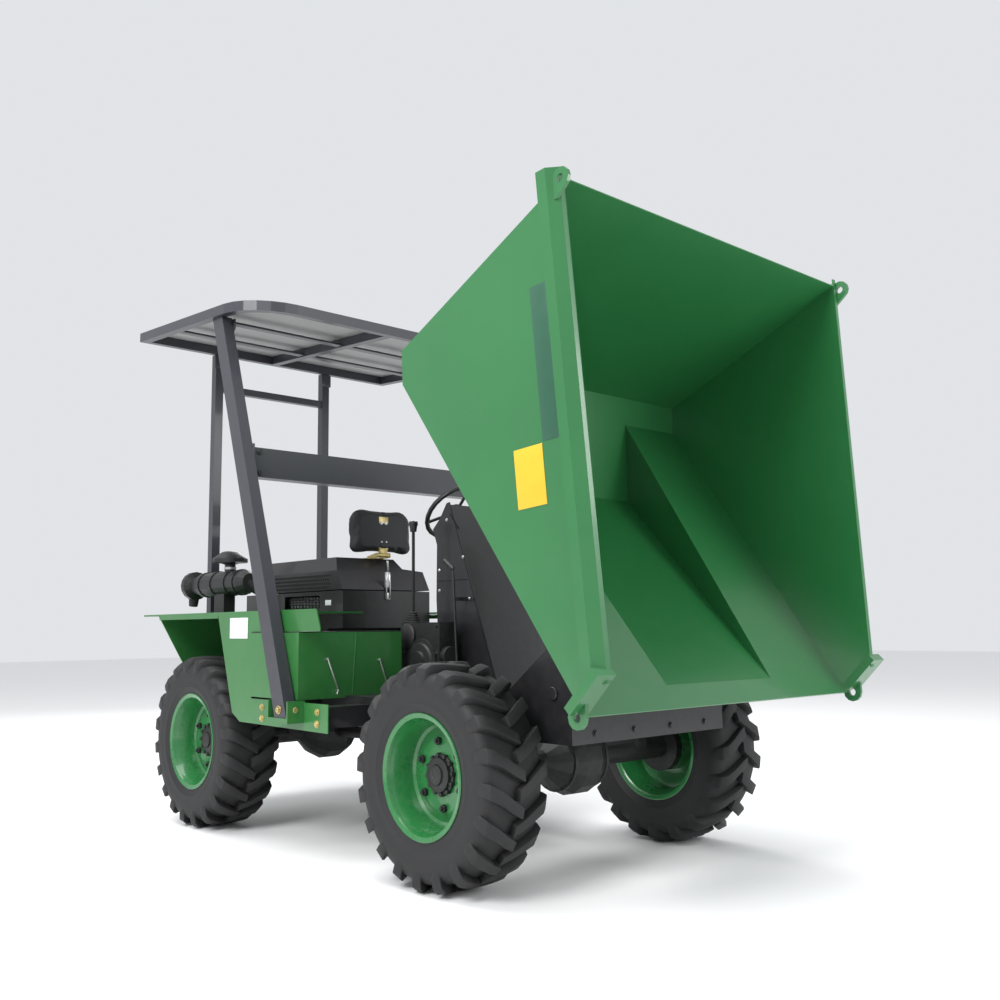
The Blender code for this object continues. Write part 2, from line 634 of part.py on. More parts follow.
def engine():
    """Engine as one block, its open casing and the hinged bonnet."""
    build("engine_block", [box((-2.050, -1.480), (-0.130, 0.330), (RAIL_TOP + GAP, 0.980))], CAST_BLACK)
    y0, y1 = COVER_Y
    s = COVER_SHEET
    outer = box((REAR_END, COVER_FRONT), COVER_Y, BASE_Z)
    inner = box((REAR_END + s, COVER_FRONT - s), (y0 + s, y1 - s), (BASE_Z[0] - 0.01, BASE_Z[1] + 0.01))
    lid = box((REAR_END, BONNET_HINGE.x), (y0 + 0.001, y1 - 0.001), (BASE_Z[1] - s, BASE_Z[1]))
    window = box((-1.845, -1.520), (y0 - 0.01, y0 + 0.02), (0.960, 1.040))
    casing_item = build("engine_base", [outer], COVER_GREY, cuts=[inner, window])
    boolean(casing_item, mesh_object(lid, "tool"), "UNION")

    def section(t, low):
        return [(y0 + t, low), (y0 + t, 1.155), (-0.130 + t * 0.5, BONNET_TOP - t), (0.210 - t * 0.5, BONNET_TOP - t),
                (0.245 - t * 0.5, 1.172 - t), (y1 - t, 1.160 - t), (y1 - t, low)]
    skin = leaning(prism(section(0.0, BONNET_LOW), BONNET_REAR, COVER_FRONT, "X"), BONNET_LOW, 0.02)
    cavity = prism(section(s, BONNET_LOW - 0.002), BONNET_REAR + s, COVER_FRONT - s * 1.2, "X")
    build("bonnet", [skin], COVER_GREY, BONNET_HINGE, [leaning(cavity, BONNET_LOW, 0.02)])


def seat():
    """Tip-up seat: zinc bracket on the bonnet and the padded pan, tipped up."""
    h = SEAT_HINGE
    solids = [box((-1.480, -1.412), (h.y - 0.040, h.y + 0.040), (BONNET_TOP + GAP, BONNET_TOP + 0.006))]
    for side in (-1, 1):
        y = (h.y + side * 0.036 - 0.003, h.y + side * 0.036 + 0.003)
        ear = hull(arc((h.x, h.z), 0.012, 0, 330, 11) + [(-1.440, BONNET_TOP + 0.001), (-1.440, BONNET_TOP + 0.012),
                                                         (-1.412, BONNET_TOP + 0.001)])
        solids.append(prism(ear, y[0], y[1]))
    build("seat_bracket", solids, ZINC)
    pan = box((-SEAT_THICKNESS + 0.004, 0.004), (-SEAT_HALF_WIDTH, SEAT_HALF_WIDTH), (0.020, SEAT_HEIGHT))
    edges = [e for e in pan.edges if abs(e.verts[0].co.x - e.verts[1].co.x) > SEAT_THICKNESS / 2]
    bmesh.ops.bevel(pan, geom=edges, offset=0.040, segments=3, affect="EDGES", profile=0.5)
    bar = tube((0, -0.0325, 0), (0, 0.0325, 0), 0.010, 12)
    arm = box((-0.006, 0.006), (-0.028, 0.028), (0.000, 0.120))
    place = Matrix.Translation(h) @ Matrix.Rotation(-SEAT_LEAN, 4, "Y")
    for part in (pan, bar, arm):
        bmesh.ops.transform(part, verts=part.verts, matrix=place)
    build("seat_cushion", [pan, bar, arm], VINYL, h)


def air_cleaner():
    """Air cleaner canister with its end disc, rain cap and stand."""
    y, z = -0.450, 1.105
    canister = turned([(0.0, -2.250), (0.072, -2.245), (0.072, -2.215), (0.045, -2.200), (0.045, -2.120),
                       (0.060, -2.120), (0.060, -1.700), (0.040, -1.660), (0.0, -1.660)],
                      (0, y, z), (1, 0, 0), 16)
    neck = tube((-1.860, y, z), (-1.860, y, 1.215), 0.026, 12)
    cap = turned([(0.0, 1.208), (0.083, 1.208), (0.0835, 1.226), (0.040, 1.256), (0.0, 1.262)],
                 (-1.860, y, 0), (0, 0, 1), 16)
    stand = box((-1.960, -1.860), (y - 0.030, y + 0.030), (DECK_TOP + GAP, 1.060))
    build("air_cleaner", [canister, neck, cap, stand], CAST_BLACK)


# ---------------------------------------------------------------- console and controls
def console():
    """Side plates and cross plates of the console, left of the middle, and its cover."""
    y0, y1 = CONSOLE_Y
    base = RAIL_TOP + FLOOR_THICKNESS + GAP
    outline = [(-0.3895, base), (-0.7013, 1.4275), (-0.720, 1.424), (-0.769, 1.357),
               (-0.816, 1.315), (-0.788, 1.243), (-0.793, 0.999), (-0.765, base)]
    solids = [prism(outline, y0, y0 + SHEET), prism(outline, y1 - SHEET, y1),
              box((-0.745, -0.430), (y0 + 0.001, y1 - 0.001), (base, base + SHEET)),
              box((-0.780, -0.700), (y0 + 0.001, y1 - 0.001), (1.245, 1.250))]
    build("console", solids, FRAME_BLACK)
    run = Vector((-0.694 + 0.378, 1.415 - 0.585)).normalized()
    out = Vector((run.y, -run.x))
    a = Vector((-0.387, base + 0.001)) + out * 0.0015
    b = a + run * 0.860
    outline = [tuple(p) for p in (a, b, b + out * 0.004, a + out * 0.004)]
    build("console_cover", [prism(outline, y0, y1)], COVER_GREY)


def steering():
    """Column with its cross tube, and the steering wheel."""
    c = WHEEL_CENTRE
    axis = Vector((-math.sin(COLUMN_TILT), 0, math.cos(COLUMN_TILT)))
    foot = c - axis * COLUMN_LENGTH
    y0, y1 = CONSOLE_Y[0] + SHEET + GAP, CONSOLE_Y[1] - SHEET - GAP
    column = [tube(foot, c - axis * 0.026, COLUMN_RADIUS, 14),
              box((foot.x - 0.012, foot.x + 0.040), (y0, y1), (foot.z - 0.020, foot.z + 0.012))]
    build("steering_column", column, FRAME_BLACK)
    r = WHEEL_TUBE_RADIUS
    ring = [(WHEEL_RIM_RADIUS - r + r * math.cos(t), r * math.sin(t))
            for t in [2 * math.pi * i / 8 for i in range(8)]]
    turn = axis.to_track_quat("Z", "Y").to_matrix()
    solids = [turned(ring, c, axis, 24), tube(c - axis * 0.0255, c + axis * 0.012, 0.030, 14)]
    for i in range(3):
        angle = math.radians(90 + 120 * i)
        reach = WHEEL_RIM_RADIUS - r
        tip = c + turn @ Vector((reach * math.cos(angle), reach * math.sin(angle), 0))
        solids.append(tube(c, tip, 0.007, 8))
    build("steering_wheel", solids, VINYL, c)


def controls():
    """Gear housing, gear lever and the skip control rod beside the console."""
    base = RAIL_TOP + FLOOR_THICKNESS + GAP
    build("gear_housing", [box((-0.860, -0.600), (-0.150, -0.065), (base, 0.900))], CAST_BLACK)
    lever = [tube((-0.830, -0.110, 0.900 + GAP), (-0.830, -0.110, 0.945), 0.032, 12, 0.012),
             tube((-0.830, -0.110, 0.930), (-0.830, -0.110, 1.320), 0.007, 8),
             tube((-0.830, -0.110, 1.300), (-0.830, -0.110, 1.345), 0.014, 10, 0.020)]
    build("gear_lever", lever, VINYL)
    y = -0.080
    rod = [tube((-0.565, y, base), (-0.594, y, 1.140), 0.006, 10),
           box((-0.595, -0.583), (y, CONSOLE_Y[0] - GAP), (0.990, 1.005)),
           tube((-0.594, y, 1.125), (-0.640, y - 0.01, 1.165), 0.010, 10)]
    build("control_rod", rod, FRAME_BLACK)


# ---------------------------------------------------------------- roll frame and canopy
def canopy_z(x, lift=0.0):
    """Height of the canopy frame's upper face at x."""
    return CANOPY_REAR_Z - (x - CANOPY_REAR) * CANOPY_SLOPE + lift


def canopy_outline(inset):
    """Plan outline with rounded front corners."""
    w, r = CANOPY_HALF_WIDTH - inset, CANOPY_CORNER - inset
    front, rear = CANOPY_FRONT - inset, CANOPY_REAR + inset
    return ([(rear, -w)] + arc((front - r, -w + r), r, -90, 0, 6)
            + arc((front - r, w - r), r, 0, 90, 6) + [(rear, w)])


def slope_down(bm):
    """Lay a flat canopy piece on the canopy's sloping plane."""
    for vert in bm.verts:
        vert.co.z += canopy_z(vert.co.x)
    return bm


def canopy():
    """Canopy frame of tube, with a middle member, and the roof panel on it."""
    ring = slope_down(prism(canopy_outline(0.0), -CANOPY_DEPTH, 0.0, "Z"))
    inner = canopy_outline(CANOPY_TUBE)
    half = CANOPY_TUBE / 2
    front = max(p[0] for p in inner)
    cuts = []
    for side in (-1, 1):
        outline = [(x, y) for x, y in inner if y * side > half]
        outline += [(front, side * half), (CANOPY_REAR + CANOPY_TUBE, side * half)]
        cuts.append(slope_down(prism(hull(outline), -CANOPY_DEPTH - 0.01, 0.01, "Z")))
    build("canopy_frame", [ring], FRAME_GREY, cuts=cuts)
    roof = slope_down(prism(canopy_outline(0.010), GAP, GAP + PANEL_THICKNESS, "Z"))
    build("canopy_roof", [roof], PANEL_GREY)


def leg(side, name):
    """Leaning leg of the roll frame, cut off level with the canopy's underside."""
    bm = bmesh.new()
    low, high = [], []
    for dx, dy in ((-1, -1), (1, -1), (1, 1), (-1, 1)):
        low.append(bm.verts.new((LEG_FOOT.x + dx * LEG_HALF_DEPTH,
                                 side * (LEG_FOOT.y + dy * LEG_HALF_WIDTH), LEG_FOOT.z)))
        x = LEG_TOP_X + dx * LEG_HALF_DEPTH
        high.append(bm.verts.new((x, side * (LEG_TOP_Y + dy * LEG_HALF_WIDTH),
                                  canopy_z(x, -CANOPY_DEPTH - GAP))))
    bm.faces.new(low)
    bm.faces.new(high[::-1])
    for i in range(4):
        j = (i + 1) % 4
        bm.faces.new((low[i], low[j], high[j], high[i]))
    bmesh.ops.recalc_face_normals(bm, faces=bm.faces)
    build(f"rops_leg_{name}", [bm], FRAME_GREY)


def posts():
    """Rear posts with their crossbar."""
    solids = []
    for side in (-1, 1):
        y = side_range(side, POST_Y - POST_HALF, POST_Y + POST_HALF)
        top = canopy_z(POST_X + POST_HALF, -CANOPY_DEPTH - GAP)
        solids.append(box((POST_X - POST_HALF, POST_X + POST_HALF), y, (DECK_TOP + GAP, top)))
    solids.append(box((POST_X - CROSSBAR_HALF, POST_X + CROSSBAR_HALF), (-POST_Y, POST_Y),
                      (CROSSBAR_Z - CROSSBAR_HALF, CROSSBAR_Z + CROSSBAR_HALF)))
    build("rear_post_frame", solids, FRAME_GREY)


# ---------------------------------------------------------------- assembly
for leftover in list(bpy.data.objects):
    bpy.data.objects.remove(leftover)

MACHINE = bpy.data.objects.new("machine", None)
bpy.context.collection.objects.link(MACHINE)

SKIP_GREEN = make_material("skip_green", (0.025, 0.235, 0.065), 0.38)
BODY_GREEN = make_material("body_green", (0.028, 0.225, 0.060), 0.42)
RIM_GREEN = make_material("rim_green", (0.022, 0.240, 0.070), 0.40)
FRAME_GREY = make_material("frame_grey", (0.075, 0.078, 0.090), 0.45)
PANEL_GREY = make_material("panel_grey", (0.300, 0.300, 0.300), 0.55)
COVER_GREY = make_material("cover_grey", (0.060, 0.058, 0.060), 0.48)
FRAME_BLACK = make_material("frame_black", (0.020, 0.020, 0.021), 0.50)
CAST_BLACK = make_material("cast_black", (0.018, 0.018, 0.020), 0.55)
RUBBER = make_material("rubber", (0.018, 0.018, 0.018), 0.85)
VINYL = make_material("vinyl", (0.020, 0.021, 0.024), 0.55)
ZINC = make_material("zinc", (0.480, 0.400, 0.240), 0.35, 0.9)
CHROME = make_material("chrome", (0.600, 0.600, 0.600), 0.18, 1.0)

for place, axle_x in (("front", 0.0), ("rear", -WHEELBASE)):
    for word, sign in (("right", -1), ("left", 1)):
        wheel(f"{place}_{word}", place, (axle_x, sign * TRACK / 2, TYRE_RADIUS), sign)
front_axle()
rear_axle()
chassis()
skip()
tip_cylinder()
engine()
seat()
air_cleaner()
console()
steering()
controls()
canopy()
posts()
build("rops_beam", [box(BEAM_X, (-BEAM_END, BEAM_END), BEAM_Z)], FRAME_GREY)
for word, sign in (("right", -1), ("left", 1)):
    hinge_tower(sign, word)
    knuckle(sign, word)
    side_panel(sign, word)
    side_tank(sign, word)
    leg(sign, word)


def footprint_middle():
    """Middle of the whole model in plan."""
    bpy.context.view_layer.update()
    xs = [(item.matrix_world @ vert.co).x for item in bpy.data.objects if item.type == "MESH"
          for vert in item.data.vertices]
    return (min(xs) + max(xs)) / 2


MACHINE.location = (-footprint_middle(), 0.0, 0.0)
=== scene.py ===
"""Looks of the site dumper: finishes, treaded tyres, fasteners, trim and the seat."""
import json
import logging
import math
from dataclasses import dataclass
from enum import Enum
from typing import Any, Iterable, Sequence

import bpy
from mathutils import Matrix, Vector

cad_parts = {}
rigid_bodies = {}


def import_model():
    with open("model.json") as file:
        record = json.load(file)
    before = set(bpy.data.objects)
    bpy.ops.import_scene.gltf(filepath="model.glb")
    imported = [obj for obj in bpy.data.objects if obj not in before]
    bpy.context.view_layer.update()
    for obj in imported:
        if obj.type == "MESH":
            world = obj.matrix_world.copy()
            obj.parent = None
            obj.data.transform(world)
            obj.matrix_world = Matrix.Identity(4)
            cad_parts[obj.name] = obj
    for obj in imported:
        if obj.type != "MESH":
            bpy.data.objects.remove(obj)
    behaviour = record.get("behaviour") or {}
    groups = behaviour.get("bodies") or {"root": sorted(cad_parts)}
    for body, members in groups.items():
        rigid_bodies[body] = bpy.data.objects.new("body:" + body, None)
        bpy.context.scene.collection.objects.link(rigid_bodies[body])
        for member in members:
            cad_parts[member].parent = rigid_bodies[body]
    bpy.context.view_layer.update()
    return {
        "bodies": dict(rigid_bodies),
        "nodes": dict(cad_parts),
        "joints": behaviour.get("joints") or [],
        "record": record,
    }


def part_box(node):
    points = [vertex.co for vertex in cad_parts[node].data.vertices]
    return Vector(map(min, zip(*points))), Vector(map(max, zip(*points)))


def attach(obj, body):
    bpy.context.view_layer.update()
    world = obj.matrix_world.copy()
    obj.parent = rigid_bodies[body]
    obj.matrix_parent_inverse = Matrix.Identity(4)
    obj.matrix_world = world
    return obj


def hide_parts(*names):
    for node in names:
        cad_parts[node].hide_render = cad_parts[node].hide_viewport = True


log = logging.getLogger("dumper")
Point = Sequence[float]


# ---------------------------------------------------------------- finishes
class Wire:
    """A shader value that Python's operators can be used on."""

    def __init__(self, board: "Board", socket: Any) -> None:
        """Wrap a node's output socket."""
        self.board = board
        self.socket = socket

    def _maths(self, operation: str, a: Any, b: Any) -> "Wire":
        """Add one Math node."""
        return self.board.node("ShaderNodeMath", {"operation": operation}, [a, b])

    def __add__(self, other: Any) -> "Wire":
        """Sum."""
        return self._maths("ADD", self, other)

    __radd__ = __add__

    def __mul__(self, other: Any) -> "Wire":
        """Product."""
        return self._maths("MULTIPLY", self, other)

    __rmul__ = __mul__

    def __sub__(self, other: Any) -> "Wire":
        """Difference."""
        return self._maths("SUBTRACT", self, other)

    def __rsub__(self, other: Any) -> "Wire":
        """Reflected difference."""
        return self._maths("SUBTRACT", other, self)

    def clamped(self, low: float, high: float) -> "Wire":
        """Stretch the part between low and high to 0..1."""
        return self.board.node("ShaderNodeMapRange", {"clamp": True}, [self, low, high, 0.0, 1.0])


class Board:
    """One material's node tree."""

    def __init__(self, name: str) -> None:
        """Start a Principled material."""
        self.material = bpy.data.materials.new(name)
        self.material.use_nodes = True
        self.tree = self.material.node_tree
        self.shader = self.tree.nodes["Principled BSDF"]

    def node(self, kind: str, settings: dict[str, Any], inputs: Sequence[Any] | dict[str, Any],
             output: int | str = 0) -> Wire:
        """Add a node.

        Args:
            kind: the node's type.
            settings: its own settings, set first.
            inputs: values or wires of its sockets, by order or by name; None leaves one alone.
            output: which output is wanted.

        Returns:
            The wanted output as a wire.
        """
        made = self.tree.nodes.new(kind)
        for key, value in settings.items():
            setattr(made, key, value)
        pairs = inputs.items() if isinstance(inputs, dict) else enumerate(inputs)
        for key, value in pairs:
            self.plug(made.inputs[key], value)
        return Wire(self, made.outputs[output])

    def plug(self, socket: Any, value: Any) -> None:
        """Link a wire to a socket or set its value."""
        if isinstance(value, Wire):
            self.tree.links.new(value.socket, socket)
        elif value is not None:
            socket.default_value = value

    def place(self) -> Wire:
        """Object coordinates."""
        return self.node("ShaderNodeTexCoord", {}, [], "Object")

    def noise(self, scale: float, detail: float = 3.0, stretch: Point = (1, 1, 1)) -> Wire:
        """Noise on object coordinates, from 0 to 1."""
        where: Wire = self.place()
        if tuple(stretch) != (1, 1, 1):
            where = self.node("ShaderNodeMapping", {}, {"Vector": where, "Scale": tuple(stretch)})
        return self.node("ShaderNodeTexNoise", {}, {"Vector": where, "Scale": scale, "Detail": detail})

    def height(self) -> Wire:
        """Height above the ground, in metres."""
        return self.node("ShaderNodeSeparateXYZ", {}, [self.place()], 2)

    def blend(self, mask: Wire, low: Any, high: Any) -> Wire:
        """Mix two colours by a mask."""
        return self.node("ShaderNodeMix", {"data_type": "RGBA"}, {0: mask, 6: low, 7: high}, 2)

    def bump(self, level: Wire, strength: float, distance: float) -> None:
        """Feed the normal from a height."""
        normal = self.node("ShaderNodeBump", {},
                           {"Strength": strength, "Distance": distance, "Height": level})
        self.plug(self.shader.inputs["Normal"], normal)


@dataclass(frozen=True)
class Finish:
    """A surface finish, with a little dust and unevenness."""

    name: str
    colour: tuple[float, float, float]
    rough: float
    metal: float = 0.0
    coat: float = 0.0
    shade: float = 0.25
    dust: float = 0.0
    dust_colour: tuple[float, float, float] = (0.30, 0.27, 0.22)
    scale: float = 6.0
    grain: float = 0.0
    grain_scale: float = 400.0

    def make(self) -> bpy.types.Material:
        """Build the material."""
        board = Board(self.name)
        inputs = board.shader.inputs
        cloud = board.noise(self.scale, 4.0)
        dark = tuple(c * (1.0 - self.shade) for c in self.colour)
        colour = board.blend(cloud.clamped(0.35, 0.65), (*dark, 1.0), (*self.colour, 1.0))
        if self.dust > 0:
            speck = board.noise(self.scale * 7.0, 6.0)
            low = 1.0 - board.height().clamped(0.05, 1.3)
            mask = (speck.clamped(0.42, 0.75) * self.dust * (low * 0.8 + 0.2))
            colour = board.blend(mask, colour, (*self.dust_colour, 1.0))
            board.plug(inputs["Roughness"], mask * 0.5 + cloud * 0.12 + (self.rough - 0.06))
        else:
            board.plug(inputs["Roughness"], cloud * 0.12 + (self.rough - 0.06))
        board.plug(inputs["Base Color"], colour)
        inputs["Metallic"].default_value = self.metal
        inputs["Coat Weight"].default_value = self.coat
        inputs["Coat Roughness"].default_value = 0.08
        if self.grain > 0:
            board.bump(board.noise(self.grain_scale, 2.0), self.grain, 0.0006)
        return board.material


class Look(Enum):
    """The machine's finishes."""

    SKIP = Finish("skip_paint", (0.020, 0.150, 0.042), 0.30, coat=0.45, shade=0.08, dust=0.05, scale=1.6,
                  grain=0.10, grain_scale=120.0)
    BODY = Finish("body_paint", (0.024, 0.150, 0.032), 0.34, coat=0.35, shade=0.10, dust=0.08, scale=2.5,
                  grain=0.10, grain_scale=120.0)
    RIM = Finish("rim_paint", (0.016, 0.165, 0.040), 0.28, coat=0.45, shade=0.12, dust=0.08, scale=9.0)
    FRAME = Finish("frame_paint", (0.036, 0.036, 0.046), 0.40, coat=0.20, shade=0.10, dust=0.04, scale=4.0,
                   grain=0.10, grain_scale=160.0)
    COVER = Finish("cover_paint", (0.021, 0.020, 0.022), 0.38, coat=0.20, shade=0.12, dust=0.05, scale=5.0,
                   grain=0.22, grain_scale=260.0)
    BLACK = Finish("chassis_paint", (0.011, 0.011, 0.013), 0.42, coat=0.15, shade=0.12, dust=0.04, scale=5.0)
    CASTING = Finish("casting_paint", (0.011, 0.011, 0.012), 0.50, shade=0.15, dust=0.05, scale=8.0,
                     grain=0.45, grain_scale=170.0)
    MOULDED = Finish("moulded_plastic", (0.011, 0.011, 0.012), 0.44, shade=0.12, dust=0.03, scale=8.0,
                     grain=0.25, grain_scale=420.0)
    RUBBER = Finish("tyre_rubber", (0.010, 0.010, 0.011), 0.62, shade=0.2, dust=0.16,
                    dust_colour=(0.045, 0.043, 0.040), scale=10.0, grain=0.35, grain_scale=260.0)
    VINYL = Finish("seat_vinyl", (0.016, 0.017, 0.020), 0.50, shade=0.15, scale=12.0, grain=0.6,
                   grain_scale=520.0)
    ROOF = Finish("roof_panel", (0.30, 0.30, 0.30), 0.48, shade=0.10, dust=0.05, scale=3.0)
    ZINC = Finish("yellow_zinc", (0.62, 0.50, 0.22), 0.34, metal=0.85, shade=0.25, scale=30.0)
    STEEL = Finish("bright_steel", (0.62, 0.62, 0.62), 0.30, metal=0.95, shade=0.15, scale=30.0)
    CHROME = Finish("chromed_rod", (0.78, 0.78, 0.78), 0.14, metal=1.0, shade=0.05, scale=20.0)
    BLANK = Finish("blank_label", (0.72, 0.74, 0.74), 0.40, shade=0.05, scale=20.0)
    YELLOW = Finish("yellow_plate", (0.66, 0.42, 0.02), 0.38, shade=0.05, scale=20.0)
    PLATE = Finish("name_plate", (0.012, 0.085, 0.045), 0.34, coat=0.3, shade=0.05, scale=20.0)
    # Near-black and matt: painted shade in the grille holes and the console slot, and the dark colour of the
    # console seam.
    HOLE_SHADE_AND_JOINT = Finish("painted_hole_shade_and_dark_joint", (0.003, 0.003, 0.003), 0.95, shade=0.1, scale=20.0)


# ---------------------------------------------------------------- modelling
class Bench:
    """Modelling steps shared by all the sub-assemblies, in the calibration frame."""

    def __init__(self, frame: dict[str, Any], axle: float) -> None:
        """Keep the frame and the front axle's place.

        Args:
            axle: X of the front axle in the row's frame.
        """
        self.frame = frame
        self.axle = axle
        self.looks: dict[Look, bpy.types.Material] = {look: look.value.make() for look in Look}

    def at(self, point: Point) -> Vector:
        """A point given from the front axle, in the row's frame."""
        return Vector((point[0] + self.axle, point[1], point[2]))

    @staticmethod
    def clear() -> None:
        """Leave edit mode and deselect everything."""
        if bpy.context.object and bpy.context.object.mode != "OBJECT":
            bpy.ops.object.mode_set(mode="OBJECT")
        bpy.ops.object.select_all(action="DESELECT")

    def only(self, item: bpy.types.Object) -> None:
        """Select one object and make it active."""
        self.clear()
        item.select_set(True)
        bpy.context.view_layer.objects.active = item

    def seated(self, item: bpy.types.Object, name: str) -> bpy.types.Object:
        """Name a piece and put its place into its mesh."""
        self.only(item)
        bpy.ops.object.transform_apply(location=True, rotation=True, scale=True)
        item.name = name
        item.data.name = name
        return item

    def softened(self, item: bpy.types.Object, width: float, steps: int = 2) -> bpy.types.Object:
        """Round the piece's sharp edges."""
        if width > 0:
            self.only(item)
            rounding = item.modifiers.new("edges", "BEVEL")
            rounding.width = width
            rounding.segments = steps
            rounding.limit_method = "ANGLE"
            rounding.angle_limit = math.radians(35)
            bpy.ops.object.modifier_apply(modifier=rounding.name)
        return item

    def smooth(self, item: bpy.types.Object, angle: float = 40.0) -> None:
        """Shade smooth except at sharp edges."""
        self.only(item)
        bpy.ops.object.shade_smooth_by_angle(angle=math.radians(angle))

    def block(self, name: str, low: Point, high: Point, edge: float = 0.0015) -> bpy.types.Object:
        """A block with rounded edges between two corners."""
        self.clear()
        a, b = self.at(low), self.at(high)
        bpy.ops.mesh.primitive_cube_add(size=1.0, location=(a + b) / 2)
        item = bpy.context.object
        item.scale = [abs(b[i] - a[i]) for i in range(3)]
        self.seated(item, name)
        return self.softened(item, edge)

    def bar(self, name: str, start: Point, end: Point, radius: float, sides: int = 16,
            edge: float = 0.001, end_radius: float | None = None) -> bpy.types.Object:
        """A round, hexagonal or tapered bar between two points."""
        self.clear()
        a, b = self.at(start), self.at(end)
        run = b - a
        turn = run.to_track_quat("Z", "Y").to_euler()
        bpy.ops.mesh.primitive_cone_add(vertices=sides, radius1=radius, depth=run.length, rotation=turn,
                                        radius2=radius if end_radius is None else end_radius,
                                        location=(a + b) / 2)
        item = self.seated(bpy.context.object, name)
        return self.softened(item, edge, 1)

    def outline(self, name: str, points: Sequence[Point], axis: str, low: float, high: float,
                edge: float = 0.0012) -> bpy.types.Object:
        """A plate of a given outline, between two levels along one axis."""
        self.clear()
        bpy.ops.mesh.primitive_circle_add(vertices=len(points), fill_type="NGON")
        item = bpy.context.object
        where = {"X": lambda a, b: (low, a, b), "Y": lambda a, b: (a, low, b), "Z": lambda a, b: (a, b, low)}
        for vert, (a, b) in zip(item.data.vertices, points):
            vert.co = self.at(where[axis](a, b))
        bpy.ops.object.mode_set(mode="EDIT")
        bpy.ops.mesh.select_all(action="SELECT")
        step = Vector({"X": (1, 0, 0), "Y": (0, 1, 0), "Z": (0, 0, 1)}[axis]) * (high - low)
        bpy.ops.mesh.extrude_region_move(TRANSFORM_OT_translate={"value": step})
        bpy.ops.mesh.select_all(action="SELECT")
        bpy.ops.mesh.normals_make_consistent(inside=False)
        bpy.ops.object.mode_set(mode="OBJECT")
        self.seated(item, name)
        return self.softened(item, edge)

    def turned(self, name: str, profile: Sequence[Point], origin: Point, axis: Point,
               steps: int = 48) -> bpy.types.Object:
        """Spin a closed profile of (radius, offset) points round an axis."""
        self.clear()
        bpy.ops.mesh.primitive_circle_add(vertices=len(profile), fill_type="NOTHING")
        item = bpy.context.object
        for vert, (radius, offset) in zip(item.data.vertices, profile):
            vert.co = (radius, 0.0, offset)
        bpy.ops.object.mode_set(mode="EDIT")
        bpy.ops.mesh.select_all(action="SELECT")
        bpy.ops.mesh.spin(steps=steps, angle=2 * math.pi, center=(0, 0, 0), axis=(0, 0, 1))
        bpy.ops.mesh.select_all(action="SELECT")
        bpy.ops.mesh.remove_doubles(threshold=0.00002)
        bpy.ops.mesh.dissolve_degenerate(threshold=0.00001)
        bpy.ops.mesh.delete_loose()
        bpy.ops.mesh.select_all(action="SELECT")
        bpy.ops.mesh.normals_make_consistent(inside=False)
        bpy.ops.object.mode_set(mode="OBJECT")
        item.matrix_world = (Matrix.Translation(self.at(origin))
                             @ Vector(axis).to_track_quat("Z", "Y").to_matrix().to_4x4())
        return self.seated(item, name)

    def copied(self, item: bpy.types.Object, change: Matrix) -> bpy.types.Object:
        """A copy with its own mesh, moved or turned by a matrix."""
        twin = item.copy()
        twin.data = item.data.copy()
        twin.data.transform(change)
        if change.determinant() < 0:
            twin.data.flip_normals()
        bpy.context.collection.objects.link(twin)
        return twin

    def joined(self, name: str, parts: Sequence[bpy.types.Object]) -> bpy.types.Object:
        """Join parts into one piece."""
        self.clear()
        for part in parts:
            part.select_set(True)
        bpy.context.view_layer.objects.active = parts[0]
        if len(parts) > 1:
            bpy.ops.object.join()
        parts[0].name = name
        parts[0].data.name = name
        return parts[0]

    def done(self, item: bpy.types.Object, look: Look, body: str, slot: str,
             replaces: Sequence[str] = (), angle: float = 40.0) -> bpy.types.Object:
        """Dress a finished piece and let it ride on its body."""
        item.data.materials.clear()
        item.data.materials.append(self.looks[look])
        self.smooth(item, angle)
        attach(item, body)
        if replaces:
            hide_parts(*replaces)
        log.info("%s rides on %s", item.name, body)
        return item

    def bolts(self, name: str, places: Iterable[tuple[Point, Point]], radius: float, height: float,
              look: Look, body: str, slot: str) -> bpy.types.Object:
        """Hexagon bolts with washers, each given by the middle of its seat and its direction."""
        heads = []
        for seat, way in places:
            way_v = Vector(way).normalized()
            seat_v = Vector(seat)
            heads.append(self.bar(name, seat_v - way_v * 0.0005, seat_v + way_v * height * 0.3,
                                  radius * 1.45, 14, 0.0006))
            heads.append(self.bar(name, seat_v + way_v * height * 0.25, seat_v + way_v * height, radius, 6,
                                  0.0010))
        return self.done(self.joined(name, heads), look, body, slot, angle=30)


